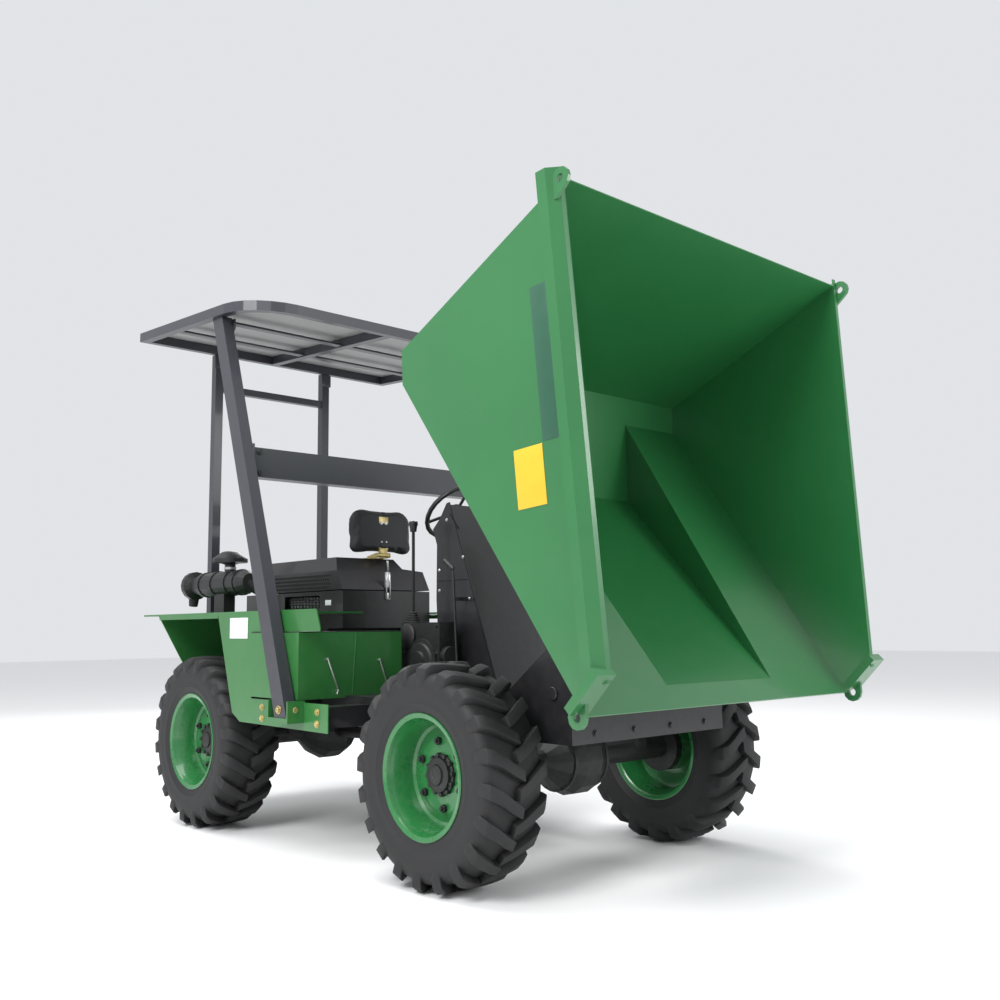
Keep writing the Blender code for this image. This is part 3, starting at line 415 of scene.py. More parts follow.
# ---------------------------------------------------------------- wheels
@dataclass
class Wheels:
    """Treaded tyres, hubs and nuts on the four wheels."""

    bench: Bench
    radius: float = 0.380
    carcass: float = 0.355
    half_width: float = 0.132
    bead: float = 0.1975
    lugs: int = 20
    lug_half_length: float = 0.021
    nut_circle: float = 0.112
    nut_radius: float = 0.0140
    steps: int = 72

    def lug(self, side: int) -> bpy.types.Object:
        """One tread bar from the middle of the tread over the shoulder."""
        w, top = self.half_width, self.radius
        rows = [(-0.012, -3.0, top, 0.350, 0.90), (0.030, 0.5, top, 0.348, 1.0),
                (0.070, 4.5, top - 0.001, 0.345, 1.05),
                (0.104, 7.5, top - 0.004, 0.335, 1.12), (w - 0.0075, 9.0, top - 0.019, 0.318, 1.18),
                (w - 0.0015, 9.6, top - 0.048, 0.300, 1.10), (w - 0.0015, 9.8, top - 0.070, 0.290, 0.80)]
        self.bench.clear()
        bpy.ops.mesh.primitive_grid_add(x_subdivisions=len(rows) - 1, y_subdivisions=1, size=2.0)
        item = bpy.context.object
        mesh = item.data
        xs = sorted({round(v.co.x, 4) for v in mesh.vertices})
        bpy.ops.object.mode_set(mode="EDIT")
        bpy.ops.mesh.select_all(action="SELECT")
        bpy.ops.mesh.extrude_region_move(TRANSFORM_OT_translate={"value": (0, 0, -1)})
        bpy.ops.object.mode_set(mode="OBJECT")
        for vert in mesh.vertices:
            row = rows[xs.index(round(vert.co.x, 4))]
            edge = 1 if vert.co.y > 0 else -1
            offset, angle, high, low, wide = row
            deep = vert.co.z < -0.5
            reach = low if deep else high
            half = self.lug_half_length * wide * (1.25 if deep else 1.0)
            turn = math.radians(angle) + edge * half / top
            inset = -0.006 if deep and offset > 0.12 else 0.0
            vert.co = (reach * math.cos(turn), reach * math.sin(turn), side * (offset + inset))
        self.bench.only(item)
        bpy.ops.object.mode_set(mode="EDIT")
        bpy.ops.mesh.select_all(action="SELECT")
        bpy.ops.mesh.normals_make_consistent(inside=False)
        bpy.ops.object.mode_set(mode="OBJECT")
        return self.bench.softened(item, 0.003, 2)

    def tyre(self) -> bpy.types.Object:
        """A tyre about the origin, its outboard side along +Z."""
        w, bead = self.half_width, self.bead
        half = [(bead, 0.1115), (0.2132, 0.1115), (0.2135, 0.1160), (0.222, 0.1190), (0.226, 0.1210),
                (0.240, 0.1250), (0.243, 0.1270), (0.246, 0.1262), (0.272, w - 0.003), (0.300, w - 0.002),
                (0.322, w - 0.006), (0.338, w - 0.016), (0.348, w - 0.034), (0.353, 0.060)]
        profile = half + [(self.carcass, 0.0)] + [(r, -o) for r, o in reversed(half)]
        carcass = self.bench.turned("tyre", profile, (-self.bench.axle, 0, 0), (0, 0, 1), self.steps)
        parts = [carcass]
        pitch = 2 * math.pi / self.lugs
        for side in (1, -1):
            bar = self.lug(side)
            for i in range(self.lugs):
                turn = Matrix.Rotation(pitch * (i + (0.5 if side < 0 else 0.0)), 4, "Z")
                parts.append(self.bench.copied(bar, turn))
            bpy.data.objects.remove(bar)
        return self.bench.joined("tyre", parts)

    def hub(self, end: float) -> bpy.types.Object:
        """A black hub cap about the origin, outboard along +Z."""
        low = 0.0218
        profile = [(0.0, low), (0.068, low), (0.069, low + 0.009), (0.066, low + 0.011), (0.060, low + 0.012),
                   (0.058, end - 0.001), (0.050, end + 0.003), (0.036, end + 0.004), (0.034, end + 0.010),
                   (0.031, end + 0.012), (0.012, end + 0.012), (0.010, end + 0.010), (0.0, end + 0.010)]
        parts = [self.bench.turned("hub", profile, (-self.bench.axle, 0, 0), (0, 0, 1), 40)]
        for i in range(12):
            a = 2 * math.pi * i / 12
            x, y = 0.0655 * math.cos(a) - self.bench.axle, 0.0655 * math.sin(a)
            parts.append(self.bench.bar("flange_bolt", (x, y, low), (x, y, low + 0.0175), 0.0085, 6, 0.001))
        return self.bench.joined("hub", parts)

    def rim(self) -> bpy.types.Object:
        """A stepped green rim with its disc about the origin, outboard along +Z."""
        rows = [(0.0, 0.0220), (0.118, 0.0220), (0.128, 0.0200), (0.146, 0.0120), (0.160, 0.0110),
                (0.1700, 0.0180), (0.1740, 0.0330), (0.1740, 0.0540), (0.1800, 0.0640), (0.1815, 0.0860),
                (0.1880, 0.0960), (0.1905, 0.1060), (0.1950, 0.1150), (0.2040, 0.1180), (0.2090, 0.1200),
                (0.2122, 0.1185), (0.2122, 0.1150), (0.2020, 0.1125), (0.1970, 0.1080), (0.1970, -0.1080),
                (0.2020, -0.1125), (0.2122, -0.1150), (0.2122, -0.1185), (0.2040, -0.1180), (0.1930, -0.1100),
                (0.1900, -0.0900), (0.1740, -0.0600), (0.1740, -0.0010), (0.1500, 0.0020), (0.1220, 0.0140),
                (0.1000, 0.0140), (0.1000, -0.0437), (0.0, -0.0437)]
        return self.bench.turned("rim", rows, (-self.bench.axle, 0, 0), (0, 0, 1), 64)

    def nuts(self) -> bpy.types.Object:
        """The ring of wheel nuts and studs about the origin."""
        parts = []
        for i in range(6):
            a = 2 * math.pi * (i + 0.5) / 6
            x, y = self.nut_circle * math.cos(a) - self.bench.axle, self.nut_circle * math.sin(a)
            parts.append(self.bench.bar("nut", (x, y, 0.0215), (x, y, 0.036), self.nut_radius, 6, 0.0012))
            parts.append(self.bench.bar("stud", (x, y, 0.034), (x, y, 0.044), 0.0065, 12, 0.001))
        return self.bench.joined("nuts", parts)

    def build(self) -> None:
        """Make the patterns once and copy them to the four wheels."""
        tyre, nuts, rim = self.tyre(), self.nuts(), self.rim()
        hubs = {"front": self.hub(0.046), "rear": self.hub(0.036)}
        for place in ("front", "rear"):
            for word, side in (("right", -1), ("left", 1)):
                name = f"{place}_{word}"
                low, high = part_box(f"tyre_{name}")
                centre = (Vector(low) + Vector(high)) / 2
                move = Matrix.Translation(centre) @ Matrix.Rotation(math.radians(-90 * side), 4, "X")
                if name == "front_right":
                    move = move @ Matrix.Rotation(math.radians(7), 4, "Z")
                for pattern, title, look, slot in ((tyre, "treaded_tyre", Look.RUBBER, "rubber"),
                                                   (rim, "stepped_rim", Look.RIM, "rim_green"),
                                                   (hubs[place], "hub_cap", Look.CASTING, "cast_black"),
                                                   (nuts, "wheel_nuts", Look.CASTING, "cast_black")):
                    item = self.bench.copied(pattern, move)
                    item.name = f"{title}_{name}"
                    item.data.name = item.name
                    stands_for = {"treaded_tyre": [f"tyre_{name}"],
                                  "stepped_rim": [f"rim_{name}"]}.get(title, [])
                    self.bench.done(item, look, f"wheel_{name}", slot, stands_for, 35)
        for item in (tyre, nuts, rim, *hubs.values()):
            bpy.data.objects.remove(item)


# ---------------------------------------------------------------- skip
@dataclass
class SkipTrim:
    """Blank plates on the skip's sides."""

    bench: Bench
    flare: float = 0.0327

    def wall(self, z: float) -> float:
        """Outside half width of the skip at a height."""
        return 0.715 + self.flare * (z - 0.62) + 0.0052

    def plate(self, name: str, middle: Point, width: float, height: float, lean: float, look: Look,
              slot: str, side: int) -> None:
        """A thin blank plate on a side wall, leaning with the mouth."""
        x, z = middle
        c, s = math.cos(lean), math.sin(lean)
        corners = [(x + a * c + b * s, z - a * s + b * c) for a, b in
                   ((-width / 2, -height / 2), (width / 2, -height / 2), (width / 2, height / 2),
                    (-width / 2, height / 2))]
        item = self.bench.outline(name, corners, "Y", 0.0, 0.0016, 0.0004)
        for vert in item.data.vertices:
            vert.co.y = side * (self.wall(vert.co.z) + vert.co.y - 0.0004)
        if side < 0:
            item.data.flip_normals()
        self.bench.done(item, look, "skip", slot)

    def build(self) -> None:
        """Place the name plate and the yellow plate."""
        lean = math.radians(-3.9)
        for side, word in ((-1, "right"), (1, "left")):
            self.plate(f"blank_name_plate_{word}", (0.652, 1.672), 0.072, 0.482, lean, Look.PLATE,
                       "skip_green", side)
            self.plate(f"blank_yellow_plate_{word}", (0.572, 1.328), 0.126, 0.186, lean, Look.YELLOW,
                       "panel_grey", side)


# ---------------------------------------------------------------- bodywork
@dataclass
class Bodywork:
    """Tank trim, labels, bosses, axle rings and fasteners on the chassis, bolts at the leg feet among them.
    """

    bench: Bench
    half_width: float = 0.7165
    tank_front: float = -0.770

    def tank_trim(self, side: int, word: str) -> None:
        """Black top strip, hooks and the weld seam of one tank."""
        b, face = self.bench, self.tank_front
        inner = 0.220 if side < 0 else 0.400
        strip = b.block(f"tank_strip_{word}", (-1.150, side * (inner + 0.003), 0.8634),
                        (-0.772, side * 0.722, 0.8672), 0.001)
        b.done(strip, Look.BLACK, "chassis", "frame_black")
        seam = b.bar(f"tank_seam_{word}", (face + 0.0005, side * 0.470, 0.612),
                     (face + 0.0005, side * 0.452, 0.858), 0.0022, 8, 0)
        b.done(seam, Look.BODY, "chassis", "body_green")
        hooks = []
        for top, foot, high, low in ((0.597, 0.545, 0.760, 0.630), (0.342, 0.300, 0.750, 0.640)):
            if side > 0:
                top, foot = top + 0.06, foot + 0.06
            y0, y1 = side * top, side * foot
            x = face + 0.012
            hooks.append(b.bar("hook", (x, y0, high), (x, y1, low), 0.0032, 10, 0))
            hooks.append(b.bar("hook", (face - 0.001, y0, high - 0.004), (x + 0.002, y0, high), 0.0045, 10,
                               0.001))
            hooks.append(b.bar("hook", (face - 0.001, y1, low + 0.003), (x + 0.002, y1, low), 0.0040, 10,
                               0.001))
            hooks.append(b.bar("hook", (x, y1, low + 0.004), (x + 0.006, y1 + side * 0.010, low - 0.012),
                               0.0032, 10, 0))
        b.done(b.joined(f"tank_hooks_{word}", hooks), Look.STEEL, "chassis", "zinc")

    def sides(self, side: int, word: str) -> None:
        """Blank label and bolts of one side."""
        b, y = self.bench, side * (self.half_width + 0.0001)
        label = b.block(f"blank_side_label_{word}", (-1.345, y, 0.840), (-1.190, y + side * 0.0012, 0.928),
                        0.0004)
        b.done(label, Look.BLANK, "chassis", "panel_grey")
        out = (0, side, 0)
        b.bolts(f"side_bolts_{word}", [((-1.06, y, 0.515), out), ((-1.06, y, 0.560), out),
                                       ((-0.645, y, 0.515), out),
                                       ((-0.645, y, 0.560), out)], 0.010, 0.008, Look.ZINC, "chassis", "zinc")
        foot = side * (0.760 + 0.025)
        b.bolts(f"leg_foot_bolts_{word}", [((-0.812, foot, 0.565), out), ((-0.740, side * 0.757, 0.566),
                                                                          (1, 0, 0))],
                0.012, 0.009, Look.ZINC, "chassis", "zinc")

    def nose(self) -> None:
        """Bosses on the hinge towers and bolts on the nose plate."""
        b = self.bench
        for side, word in ((-1, "right"), (1, "left")):
            y = side * 0.412
            boss = b.bar(f"tower_boss_{word}", (0.327, y - side * 0.001, 0.654),
                         (0.327, y + side * 0.010, 0.654), 0.022, 20, 0.002)
            b.done(boss, Look.BLACK, "chassis", "frame_black")
            cap = b.bar(f"hinge_pin_end_{word}", (0.368, side * 0.4286, 1.0915),
                        (0.368, side * 0.4335, 1.0915), 0.017, 20, 0.002)
            b.done(cap, Look.STEEL, "chassis", "zinc")
        b.bolts("nose_bolts", [((0.410, y, 0.520), (1, 0, 0)) for y in (-0.30, -0.10, 0.10, 0.30)],
                0.009, 0.007, Look.BLACK, "chassis", "frame_black")

    def axle_ends(self) -> None:
        """Cover bolts and ribs of the front differential."""
        b = self.bench
        ribs = [b.turned("rib", [(0.060, -0.006), (0.118, -0.006), (0.118, 0.006), (0.060, 0.006)],
                         (0.0, y, 0.380), (0, 1, 0), 32) for y in (-0.084, 0.084)]
        b.done(b.joined("axle_joint_rings", ribs), Look.CASTING, "chassis", "cast_black")
        places = []
        for y, way in ((-0.090, -1), (0.090, 1)):
            for i in range(8):
                a = math.radians(45 * i + 20)
                places.append(((0.109 * math.cos(a), y, 0.380 + 0.109 * math.sin(a)), (0, way, 0)))
        b.bolts("axle_bolts", places, 0.006, 0.007, Look.CASTING, "chassis", "cast_black")

    def build(self) -> None:
        """Dress both sides and the nose."""
        for side, word in ((-1, "right"), (1, "left")):
            self.tank_trim(side, word)
            self.sides(side, word)
        self.nose()
        self.axle_ends()


# ---------------------------------------------------------------- engine cover
@dataclass
class EngineCover:
    """Grille, latch and engine details."""

    bench: Bench
    side: float = -0.150
    hole: float = 0.0068
    pitch: float = 0.0205

    def grille(self) -> None:
        """Staggered holes on the near side of the bonnet: dark countersunk discs of painted shade, standing
        in for the shade inside each hole, with raised lips.
        """
        b = self.bench
        pattern = b.bar("grille_hole_shade_disc", (0, -0.0012, 0), (0, 0.0008, 0), self.hole, 10, 0)
        rim = b.turned("grille_rim", [(self.hole, -0.0014), (self.hole + 0.0018, -0.0006),
                                      (self.hole + 0.0018, 0.0004), (self.hole, 0.0004)],
                       (0, 0, 0), (0, 1, 0), 12)
        shade_dots, rims = [], []
        for row in range(4):
            z = 1.078 + row * 0.0185
            start = -1.960 + (row % 2) * self.pitch / 2
            for i in range(26):
                x = start + i * self.pitch
                if x > -1.43:
                    break
                move = Matrix.Translation((x, self.side, z))
                shade_dots.append(b.copied(pattern, move))
                rims.append(b.copied(rim, move))
        bpy.data.objects.remove(pattern)
        bpy.data.objects.remove(rim)
        # Near-black discs where the holes are: the shade inside the bonnet, painted on.
        b.done(b.joined("grille_painted_hole_shade", shade_dots), Look.HOLE_SHADE_AND_JOINT, "bonnet", "cast_black")
        b.done(b.joined("grille_rims", rims), Look.COVER, "bonnet", "cover_grey")

    def latch(self) -> None:
        """Toggle latch on the front face."""
        b = self.bench
        parts = [b.block("latch", (-1.323, 0.092, 1.075), (-1.3165, 0.124, 1.150), 0.002),
                 b.bar("latch", (-1.312, 0.098, 1.018), (-1.316, 0.098, 1.140), 0.0035, 10, 0.001),
                 b.bar("latch", (-1.312, 0.120, 1.018), (-1.316, 0.120, 1.140), 0.0035, 10, 0.001),
                 b.bar("latch", (-1.312, 0.096, 1.018), (-1.312, 0.122, 1.018), 0.0035, 10, 0.001),
                 b.bar("latch", (-1.316, 0.109, 1.150), (-1.308, 0.100, 1.205), 0.0050, 10, 0.001)]
        b.done(b.joined("bonnet_latch", parts), Look.STEEL, "bonnet", "zinc")
        keeper = b.block("latch_keeper", (-1.3205, 0.094, 1.016), (-1.3160, 0.126, 1.050), 0.0015)
        b.done(keeper, Look.STEEL, "chassis", "zinc")

    def engine(self) -> None:
        """Pipes and a rocker cover seen through the casing's window."""
        b = self.bench
        ribs = [b.block("rib", (-1.820 + i * 0.030, -0.128, 0.982), (-1.808 + i * 0.030, 0.10, 1.036),
                        0.002) for i in range(9)]
        b.done(b.joined("engine_fins", ribs), Look.STEEL, "chassis", "zinc")
        pipes = [b.bar("pipe", (-1.82, -0.134, 1.000 + 0.012 * i), (-1.54, -0.134, 0.992 + 0.014 * i),
                       0.0042, 10, 0) for i in range(3)]
        b.done(b.joined("engine_pipes", pipes), Look.MOULDED, "chassis", "moulded_black")

    def build(self) -> None:
        """Build all of it."""
        self.grille()
        self.latch()
        self.engine()
        b = self.bench
        hinge = [b.bar("hinge", (-2.030, y - 0.03, 1.060), (-2.030, y + 0.03, 1.060), 0.005, 12,
                       0.001) for y in (-0.05, 0.27)]
        b.done(b.joined("bonnet_hinges", hinge), Look.COVER, "bonnet", "cover_grey")
        label = b.block("blank_cover_label", (-1.470, self.side - 0.0012, 0.990),
                        (-1.420, self.side, 1.015), 0.0003)
        b.done(label, Look.BLANK, "chassis", "panel_grey")


# ---------------------------------------------------------------- seat
@dataclass
class Seat:
    """Vinyl-covered foam pan, tipped up, with its zinc plate."""

    bench: Bench
    centre: tuple[float, float, float] = (-1.3875, 0.110, 1.354)
    size: tuple[float, float, float] = (0.046, 0.362, 0.222)
    lean: float = math.radians(-3.0)
    cap: float = 0.012

    def pan(self) -> bpy.types.Object:
        """The padded pan, swollen by pressure, with its cap on how far it may move."""
        b = self.bench
        x, y, z = self.centre
        sx, sy, sz = self.size
        corners = []
        for cy, cz, radius, first in ((1, 1, 0.075, 0), (-1, 1, 0.075, 90), (-1, -1, 0.035, 180),
                                      (1, -1, 0.035, 270)):
            for k in range(7):
                a = math.radians(first + 15 * k)
                corners.append((y + cy * (sy / 2 - radius) + radius * math.cos(a),
                                z + cz * (sz / 2 - radius) + radius * math.sin(a)))
        item = b.outline("padded_seat", corners, "X", x - sx / 2, x + sx / 2, 0.014)
        move = b.at(self.centre)
        item.data.transform(Matrix.Translation(move) @ Matrix.Rotation(self.lean, 4,
                                                                       "Y") @ Matrix.Translation(-move))
        b.only(item)
        item.data.remesh_voxel_size = 0.005
        bpy.ops.object.voxel_remesh()
        before = [v.co.copy() for v in item.data.vertices]
        cloth = item.modifiers.new("foam", "CLOTH")
        cloth.settings.use_pressure = True
        cloth.settings.uniform_pressure_force = 4.0
        cloth.settings.effector_weights.gravity = 0.0
        scene = bpy.context.scene
        for step in range(1, 21):
            scene.frame_set(step)
        bpy.ops.object.modifier_apply(modifier=cloth.name)
        scene.frame_set(1)
        for vert, rest in zip(item.data.vertices, before):
            shift = vert.co - rest
            if shift.length > self.cap:
                vert.co = rest + shift.normalized() * self.cap
        smooth = item.modifiers.new("cover", "SUBSURF")
        smooth.levels = smooth.render_levels = 1
        bpy.ops.object.modifier_apply(modifier=smooth.name)
        return item

    def build(self) -> None:
        """Pan, backing plate, piping and bolts."""
        b = self.bench
        pan = b.done(self.pan(), Look.VINYL, "seat", "vinyl", ["seat_cushion"])
        welts = []
        for dz in (-0.035, 0.045):
            welts.append(b.bar("welt", (-1.3625, -0.045, 1.354 + dz), (-1.3625, 0.265, 1.354 + dz), 0.0028,
                               10, 0))
        for dy in (-0.105, 0.105):
            welts.append(b.bar("welt", (-1.3620, 0.110 + dy, 1.275), (-1.3665, 0.110 + dy, 1.440), 0.0028,
                               10, 0))
        b.done(b.joined("seat_welts", welts), Look.VINYL, "seat", "vinyl")
        plate = b.block("seat_plate", (-1.3590, 0.082, 1.262), (-1.3545, 0.138, 1.425), 0.001)
        b.done(plate, Look.ZINC, "seat", "zinc")
        barrel = b.bar("seat_hinge_barrel", (-1.360, 0.078, 1.235), (-1.360, 0.142, 1.235), 0.010, 16, 0.001)
        link = b.block("seat_hinge_link", (-1.3640, 0.085, 1.232), (-1.3560, 0.135, 1.275), 0.001)
        b.done(b.joined("seat_hinge", [barrel, link]), Look.ZINC, "seat", "zinc")
        b.bolts("seat_bolts", [((-1.3545, y, z), (1, 0, 0)) for y in (0.096, 0.124) for z in (1.300, 1.395)],
                0.006, 0.005, Look.STEEL, "seat", "zinc")


# ---------------------------------------------------------------- console
@dataclass
class Console:
    """Screws, seams, slot and lever details of the operator's station."""

    bench: Bench
    near: float = -0.010

    def build(self) -> None:
        """Dress the console, column and levers."""
        b, y = self.bench, self.near
        # A dark seam line, and the lever slot as a near-black sheet of painted shade where the opening is.
        seams = [b.block("seam", (-0.790, y - 0.0012, 1.080), (-0.580, y + 0.0002, 1.083), 0.0003),
                 b.outline("slot", [(-0.640, 1.300), (-0.700, 1.372), (-0.692, 1.378), (-0.632, 1.306)],
                           "Y", y - 0.0012, y + 0.0002, 0.0003)]
        b.done(b.joined("console_seam_and_slot_shade", seams), Look.HOLE_SHADE_AND_JOINT, "chassis", "cast_black")
        places = ((-0.772, 1.130), (-0.772, 1.040), (-0.570, 1.000), (-0.610, 1.180),
                  (-0.470, 0.700), (-0.740, 0.700), (-0.720, 1.350))
        b.bolts("console_screws", [((x, y, z), (0, -1, 0)) for x, z in places], 0.0050, 0.0045, Look.STEEL,
                "chassis", "zinc")
        boss = b.turned("steering_boss", [(0.0, 0.010), (0.034, 0.010), (0.036, 0.014), (0.030, 0.022),
                                          (0.0, 0.024)],
                        (-0.870, 0.170, 1.410), (-1, 0, 1), 28)
        b.done(boss, Look.MOULDED, "steering_wheel", "moulded_black")
        z = 0.9005
        boot = [(0.0, z)]
        for i in range(5):
            r = 0.036 - i * 0.0048
            boot += [(r, z + i * 0.010), (r, z + i * 0.010 + 0.004), (r - 0.006, z + i * 0.010 + 0.007)]
        boot.append((0.0, z + 0.050))
        bellows = b.turned("lever_boot", boot, (-0.830, -0.110, 0.0), (0, 0, 1), 24)
        b.done(bellows, Look.RUBBER, "chassis", "rubber")
        knob = b.turned("lever_knob", [(0.0, 1.300), (0.010, 1.300), (0.014, 1.316), (0.021, 1.332),
                                       (0.018, 1.345), (0.0, 1.349)],
                        (-0.830, -0.110, 0.0), (0, 0, 1), 20)
        b.done(knob, Look.MOULDED, "chassis", "moulded_black")
        covers = [b.turned("cover", [(0.0, -0.002), (0.096, -0.002), (0.098, 0.004), (0.096, 0.010),
                                     (0.080, 0.012),
                                     (0.074, 0.020), (0.046, 0.024), (0.042, 0.034), (0.0, 0.034)],
                           (-0.715, -0.150, 0.735), (0, -1, 0), 36)]
        covers.append(b.turned("cover", [(0.0, -0.002), (0.052, -0.002), (0.052, 0.010), (0.044, 0.016),
                                         (0.0, 0.016)],
                               (-0.812, -0.150, 0.845), (0, -1, 0), 28))
        b.done(b.joined("housing_covers", covers), Look.CASTING, "chassis", "cast_black")
        b.bolts("housing_bolts",
                [((x, -0.150, z), (0, -1, 0)) for x in (-0.838, -0.622) for z in (0.632, 0.770, 0.885)],
                0.0065, 0.006, Look.CASTING, "chassis", "cast_black")
        collar = b.bar("axle_input", (-0.603, -0.108, 0.760), (-0.575, -0.108, 0.760), 0.040, 24, 0.003)
        b.done(collar, Look.CASTING, "chassis", "cast_black")


# ---------------------------------------------------------------- roll frame
@dataclass
class RollFrame:
    """End plates, brackets and bolts of the legs, beam, posts and canopy."""

    bench: Bench

    def top(self, x: float) -> float:
        """Height of the canopy frame's upper face."""
        return 2.397 - 0.065 * (x + 2.275)

    def build(self) -> None:
        """Dress the frame."""
        b = self.bench
        for side, word in ((-1, "right"), (1, "left")):
            plate = b.block(f"beam_end_plate_{word}", (-1.270, side * 0.7035, 1.520),
                            (-1.180, side * 0.7115, 1.680), 0.002)
            b.done(plate, Look.FRAME, "chassis", "frame_grey")
            b.bolts(f"beam_bolts_{word}", [((-1.190, side * 0.676, z), (1, 0, 0)) for z in (1.555, 1.645)],
                    0.010, 0.008, Look.BLACK, "chassis", "frame_black")
            z = self.top(-1.47) - 0.045
            strap = b.outline(f"leg_top_bracket_{word}",
                              [(-1.560, z), (-1.400, z - 0.010), (-1.400, z - 0.055), (-1.452, z - 0.120),
                               (-1.520, z - 0.120)],
                              "Y", min(side * 0.690, side * 0.697), max(side * 0.690, side * 0.697), 0.0015)
            b.done(strap, Look.FRAME, "chassis", "frame_grey")
            b.bolts(f"leg_top_bolts_{word}", [((-1.500, side * 0.690, z - 0.040), (0, -side, 0)),
                                              ((-1.490, side * 0.690, z - 0.090), (0, -side, 0))],
                    0.009, 0.007, Look.BLACK, "chassis", "frame_black")
            post = side * 0.335
            zt = self.top(-2.2375) - 0.045
            clamp = b.block(f"post_bracket_{word}", (-2.2375, post - 0.030, zt - 0.075),
                            (-2.2315, post + 0.030, zt - 0.004), 0.0015)
            b.done(clamp, Look.FRAME, "chassis", "frame_grey")
            foot = b.block(f"post_foot_{word}", (-2.284, post - 0.040, 0.9552),
                           (-2.2352, post + 0.040, 0.9612), 0.0015)
            b.done(foot, Look.FRAME, "chassis", "frame_grey")
        self.roof_bars()

    def roof_bars(self) -> None:
        """Cross straps under the roof panels."""
        b = self.bench
        straps = []
        for x in (-1.92, -1.56):
            z = self.top(x) - 0.030
            straps.append(b.block("strap", (x - 0.022, -0.725, z - 0.010), (x + 0.022, 0.725, z), 0.0015))
        b.done(b.joined("roof_straps", straps), Look.FRAME, "chassis", "frame_grey")


# ---------------------------------------------------------------- air cleaner
@dataclass
class AirCleaner:
    """Bands, rain cap ribs and the drooping outlet of the air cleaner."""

    bench: Bench
    y: float = -0.450
    z: float = 1.105

    def build(self) -> None:
        """Dress the canister."""
        b = self.bench
        bands = [b.turned("band", [(0.0585, x - 0.009), (0.0635, x - 0.009), (0.0635, x + 0.009),
                                   (0.0585, x + 0.009)],
                          (0.0, self.y, self.z), (1, 0, 0), 40) for x in (-2.085, -1.960, -1.820, -1.735)]
        b.done(b.joined("canister_bands", bands), Look.MOULDED, "chassis", "moulded_black")
        fins = []
        for i in range(18):
            a = 2 * math.pi * i / 18
            c, s = math.cos(a), math.sin(a)
            fins.append(b.bar("fin", (-1.860 + 0.050 * c, self.y + 0.050 * s, 1.209),
                              (-1.860 + 0.0805 * c, self.y + 0.0805 * s, 1.222), 0.0025, 6, 0))
        ring = b.turned("cap_ring",
                        [(0.026, 1.196), (0.050, 1.204), (0.084, 1.206), (0.0845, 1.224), (0.078, 1.230),
                         (0.040, 1.2575), (0.012, 1.2655), (0.0, 1.2655), (0.0, 1.196)],
                        (-1.860, self.y, 0.0), (0, 0, 1), 40)
        b.done(b.joined("rain_cap", [ring] + fins), Look.MOULDED, "chassis", "moulded_black")
        hose = b.bar("outlet", (-2.236, self.y, 1.060), (-2.246, self.y, 1.000), 0.028, 20, 0.003, 0.022)
        b.done(hose, Look.RUBBER, "chassis", "rubber")
        clamp = b.turned("neck_clamp", [(0.0262, 1.172), (0.0300, 1.172), (0.0300, 1.184), (0.0262, 1.184)],
                         (-1.860, self.y, 0.0), (0, 0, 1), 32)
        b.done(clamp, Look.STEEL, "chassis", "zinc")
        link = b.bar("intake_pipe", (-1.690, self.y, self.z), (-1.640, -0.330, 1.030), 0.032, 24, 0.003)
        b.done(link, Look.RUBBER, "chassis", "rubber")


# ---------------------------------------------------------------- cylinder
@dataclass
class Cylinder:
    """Gland on the tip cylinder."""

    bench: Bench

    def build(self) -> None:
        """Add the gland nut to the barrel's end."""
        b = self.bench
        foot, eye = Vector((0.360, 0.0, 0.530)), Vector((0.166, 0.0, 1.095))
        way = (eye - foot).normalized()
        gland = b.turned("barrel_gland", [(0.0233, -0.022), (0.0375, -0.022), (0.0375, -0.004),
                                          (0.034, 0.002), (0.0233, 0.002)],
                         foot + way * 0.315, way, 32)
        b.done(gland, Look.BLACK, "tip_barrel", "frame_black")


# ---------------------------------------------------------------- CAD nodes
def paint_nodes(bench: Bench) -> None:
    """Give each kept CAD node its finish."""
    finish = {"skip_green": Look.SKIP, "body_green": Look.BODY, "rim_green": Look.RIM,
              "frame_grey": Look.FRAME,
              "panel_grey": Look.ROOF, "cover_grey": Look.COVER, "frame_black": Look.BLACK,
              "cast_black": Look.CASTING, "moulded_black": Look.MOULDED, "rubber": Look.RUBBER,
              "vinyl": Look.VINYL, "zinc": Look.ZINC, "chrome": Look.CHROME}
    slots = {entry["node"]: entry["material_slot"] for entry in bench.frame["record"]["subparts"]}
    for name, item in bench.frame["nodes"].items():
        item.data.materials.clear()
        item.data.materials.append(bench.looks[finish[slots[name]]])
        log.info("%s is finished as %s", name, slots[name])


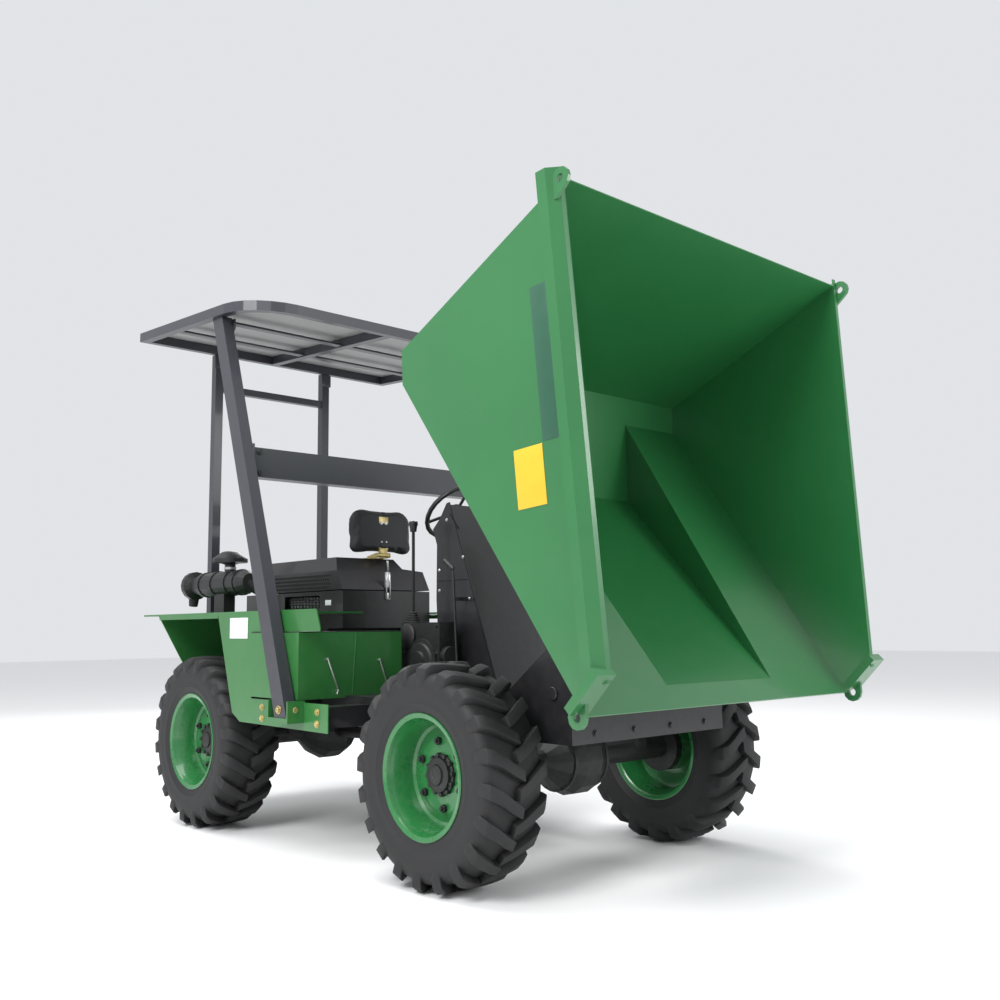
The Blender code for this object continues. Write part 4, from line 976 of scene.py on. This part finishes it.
# ---------------------------------------------------------------- studio
@dataclass
class Studio:
    """Floor, light and camera."""

    axle: float
    place: tuple[float, float, float] = (2.8305, -2.9326, 0.8726)
    yaw: float = math.radians(137.584)
    pitch: float = math.radians(6.9945)
    roll: float = math.radians(-0.604)
    lens: float = 37.59

    def camera(self) -> None:
        """The camera at the wanted angle."""
        data = bpy.data.cameras.new("camera")
        data.lens = self.lens
        data.sensor_width = 36.0
        data.clip_end = 100.0
        item = bpy.data.objects.new("camera", data)
        bpy.context.collection.objects.link(item)
        forward = Vector((math.cos(self.pitch) * math.cos(self.yaw),
                          math.cos(self.pitch) * math.sin(self.yaw),
                          math.sin(self.pitch)))
        right = forward.cross(Vector((0, 0, 1))).normalized()
        up = right.cross(forward)
        c, s = math.cos(self.roll), math.sin(self.roll)
        columns = (right * c + up * s, up * c - right * s, -forward)
        item.matrix_world = (Matrix.Translation(Vector(self.place) + Vector((self.axle, 0, 0)))
                             @ Matrix(columns).transposed().to_4x4())
        bpy.context.scene.camera = item

    def lamp(self, name: str, place: Point, aim: Point, size: float, power: float) -> None:
        """A soft area lamp that looks at a point."""
        data = bpy.data.lights.new(name, "AREA")
        data.shape = "DISK"
        data.size = size
        data.energy = power
        item = bpy.data.objects.new(name, data)
        bpy.context.collection.objects.link(item)
        item.location = place
        item.rotation_euler = (Vector(aim) - Vector(place)).to_track_quat("-Z", "Y").to_euler()

    def build(self) -> None:
        """Set up the floor, the lamps and the sky."""
        self.camera()
        bpy.ops.object.select_all(action="DESELECT")
        bpy.ops.mesh.primitive_plane_add(size=60.0, location=(0, 0, 0))
        floor = bpy.context.object
        floor.name = "studio_floor"
        board = Board("floor")
        board.shader.inputs["Base Color"].default_value = (0.86, 0.86, 0.86, 1.0)
        board.shader.inputs["Roughness"].default_value = 0.9
        floor.data.materials.append(board.material)
        self.lamp("key", (1.5, -6.0, 5.5), (0.0, 0.0, 1.0), 3.5, 430.0)
        self.lamp("sky", (-1.0, -1.0, 7.0), (0.0, 0.0, 0.5), 6.0, 360.0)
        self.lamp("fill", (6.0, 2.5, 3.0), (0.4, 0.0, 1.0), 3.0, 150.0)
        self.lamp("back", (-6.0, 3.0, 4.0), (-0.5, 0.0, 1.2), 3.0, 150.0)
        world = bpy.data.worlds.new("studio")
        world.use_nodes = True
        back = world.node_tree.nodes["Background"]
        back.inputs["Color"].default_value = (0.95, 0.97, 1.0, 1.0)
        back.inputs["Strength"].default_value = 0.80
        bpy.context.scene.world = world
        bpy.context.scene.view_settings.view_transform = "Standard"


# ---------------------------------------------------------------- all of it
def main() -> None:
    """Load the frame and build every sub-assembly."""
    logging.basicConfig(level=logging.INFO, format="%(name)s: %(message)s")
    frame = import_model()
    low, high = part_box("tyre_front_right")
    axle = (low[0] + high[0]) / 2
    Studio(axle).build()
    bench = Bench(frame, axle)
    paint_nodes(bench)
    Wheels(bench).build()
    SkipTrim(bench).build()
    Bodywork(bench).build()
    EngineCover(bench).build()
    Seat(bench).build()
    Console(bench).build()
    RollFrame(bench).build()
    AirCleaner(bench).build()
    Cylinder(bench).build()


if __name__ == "__main__":
    main()
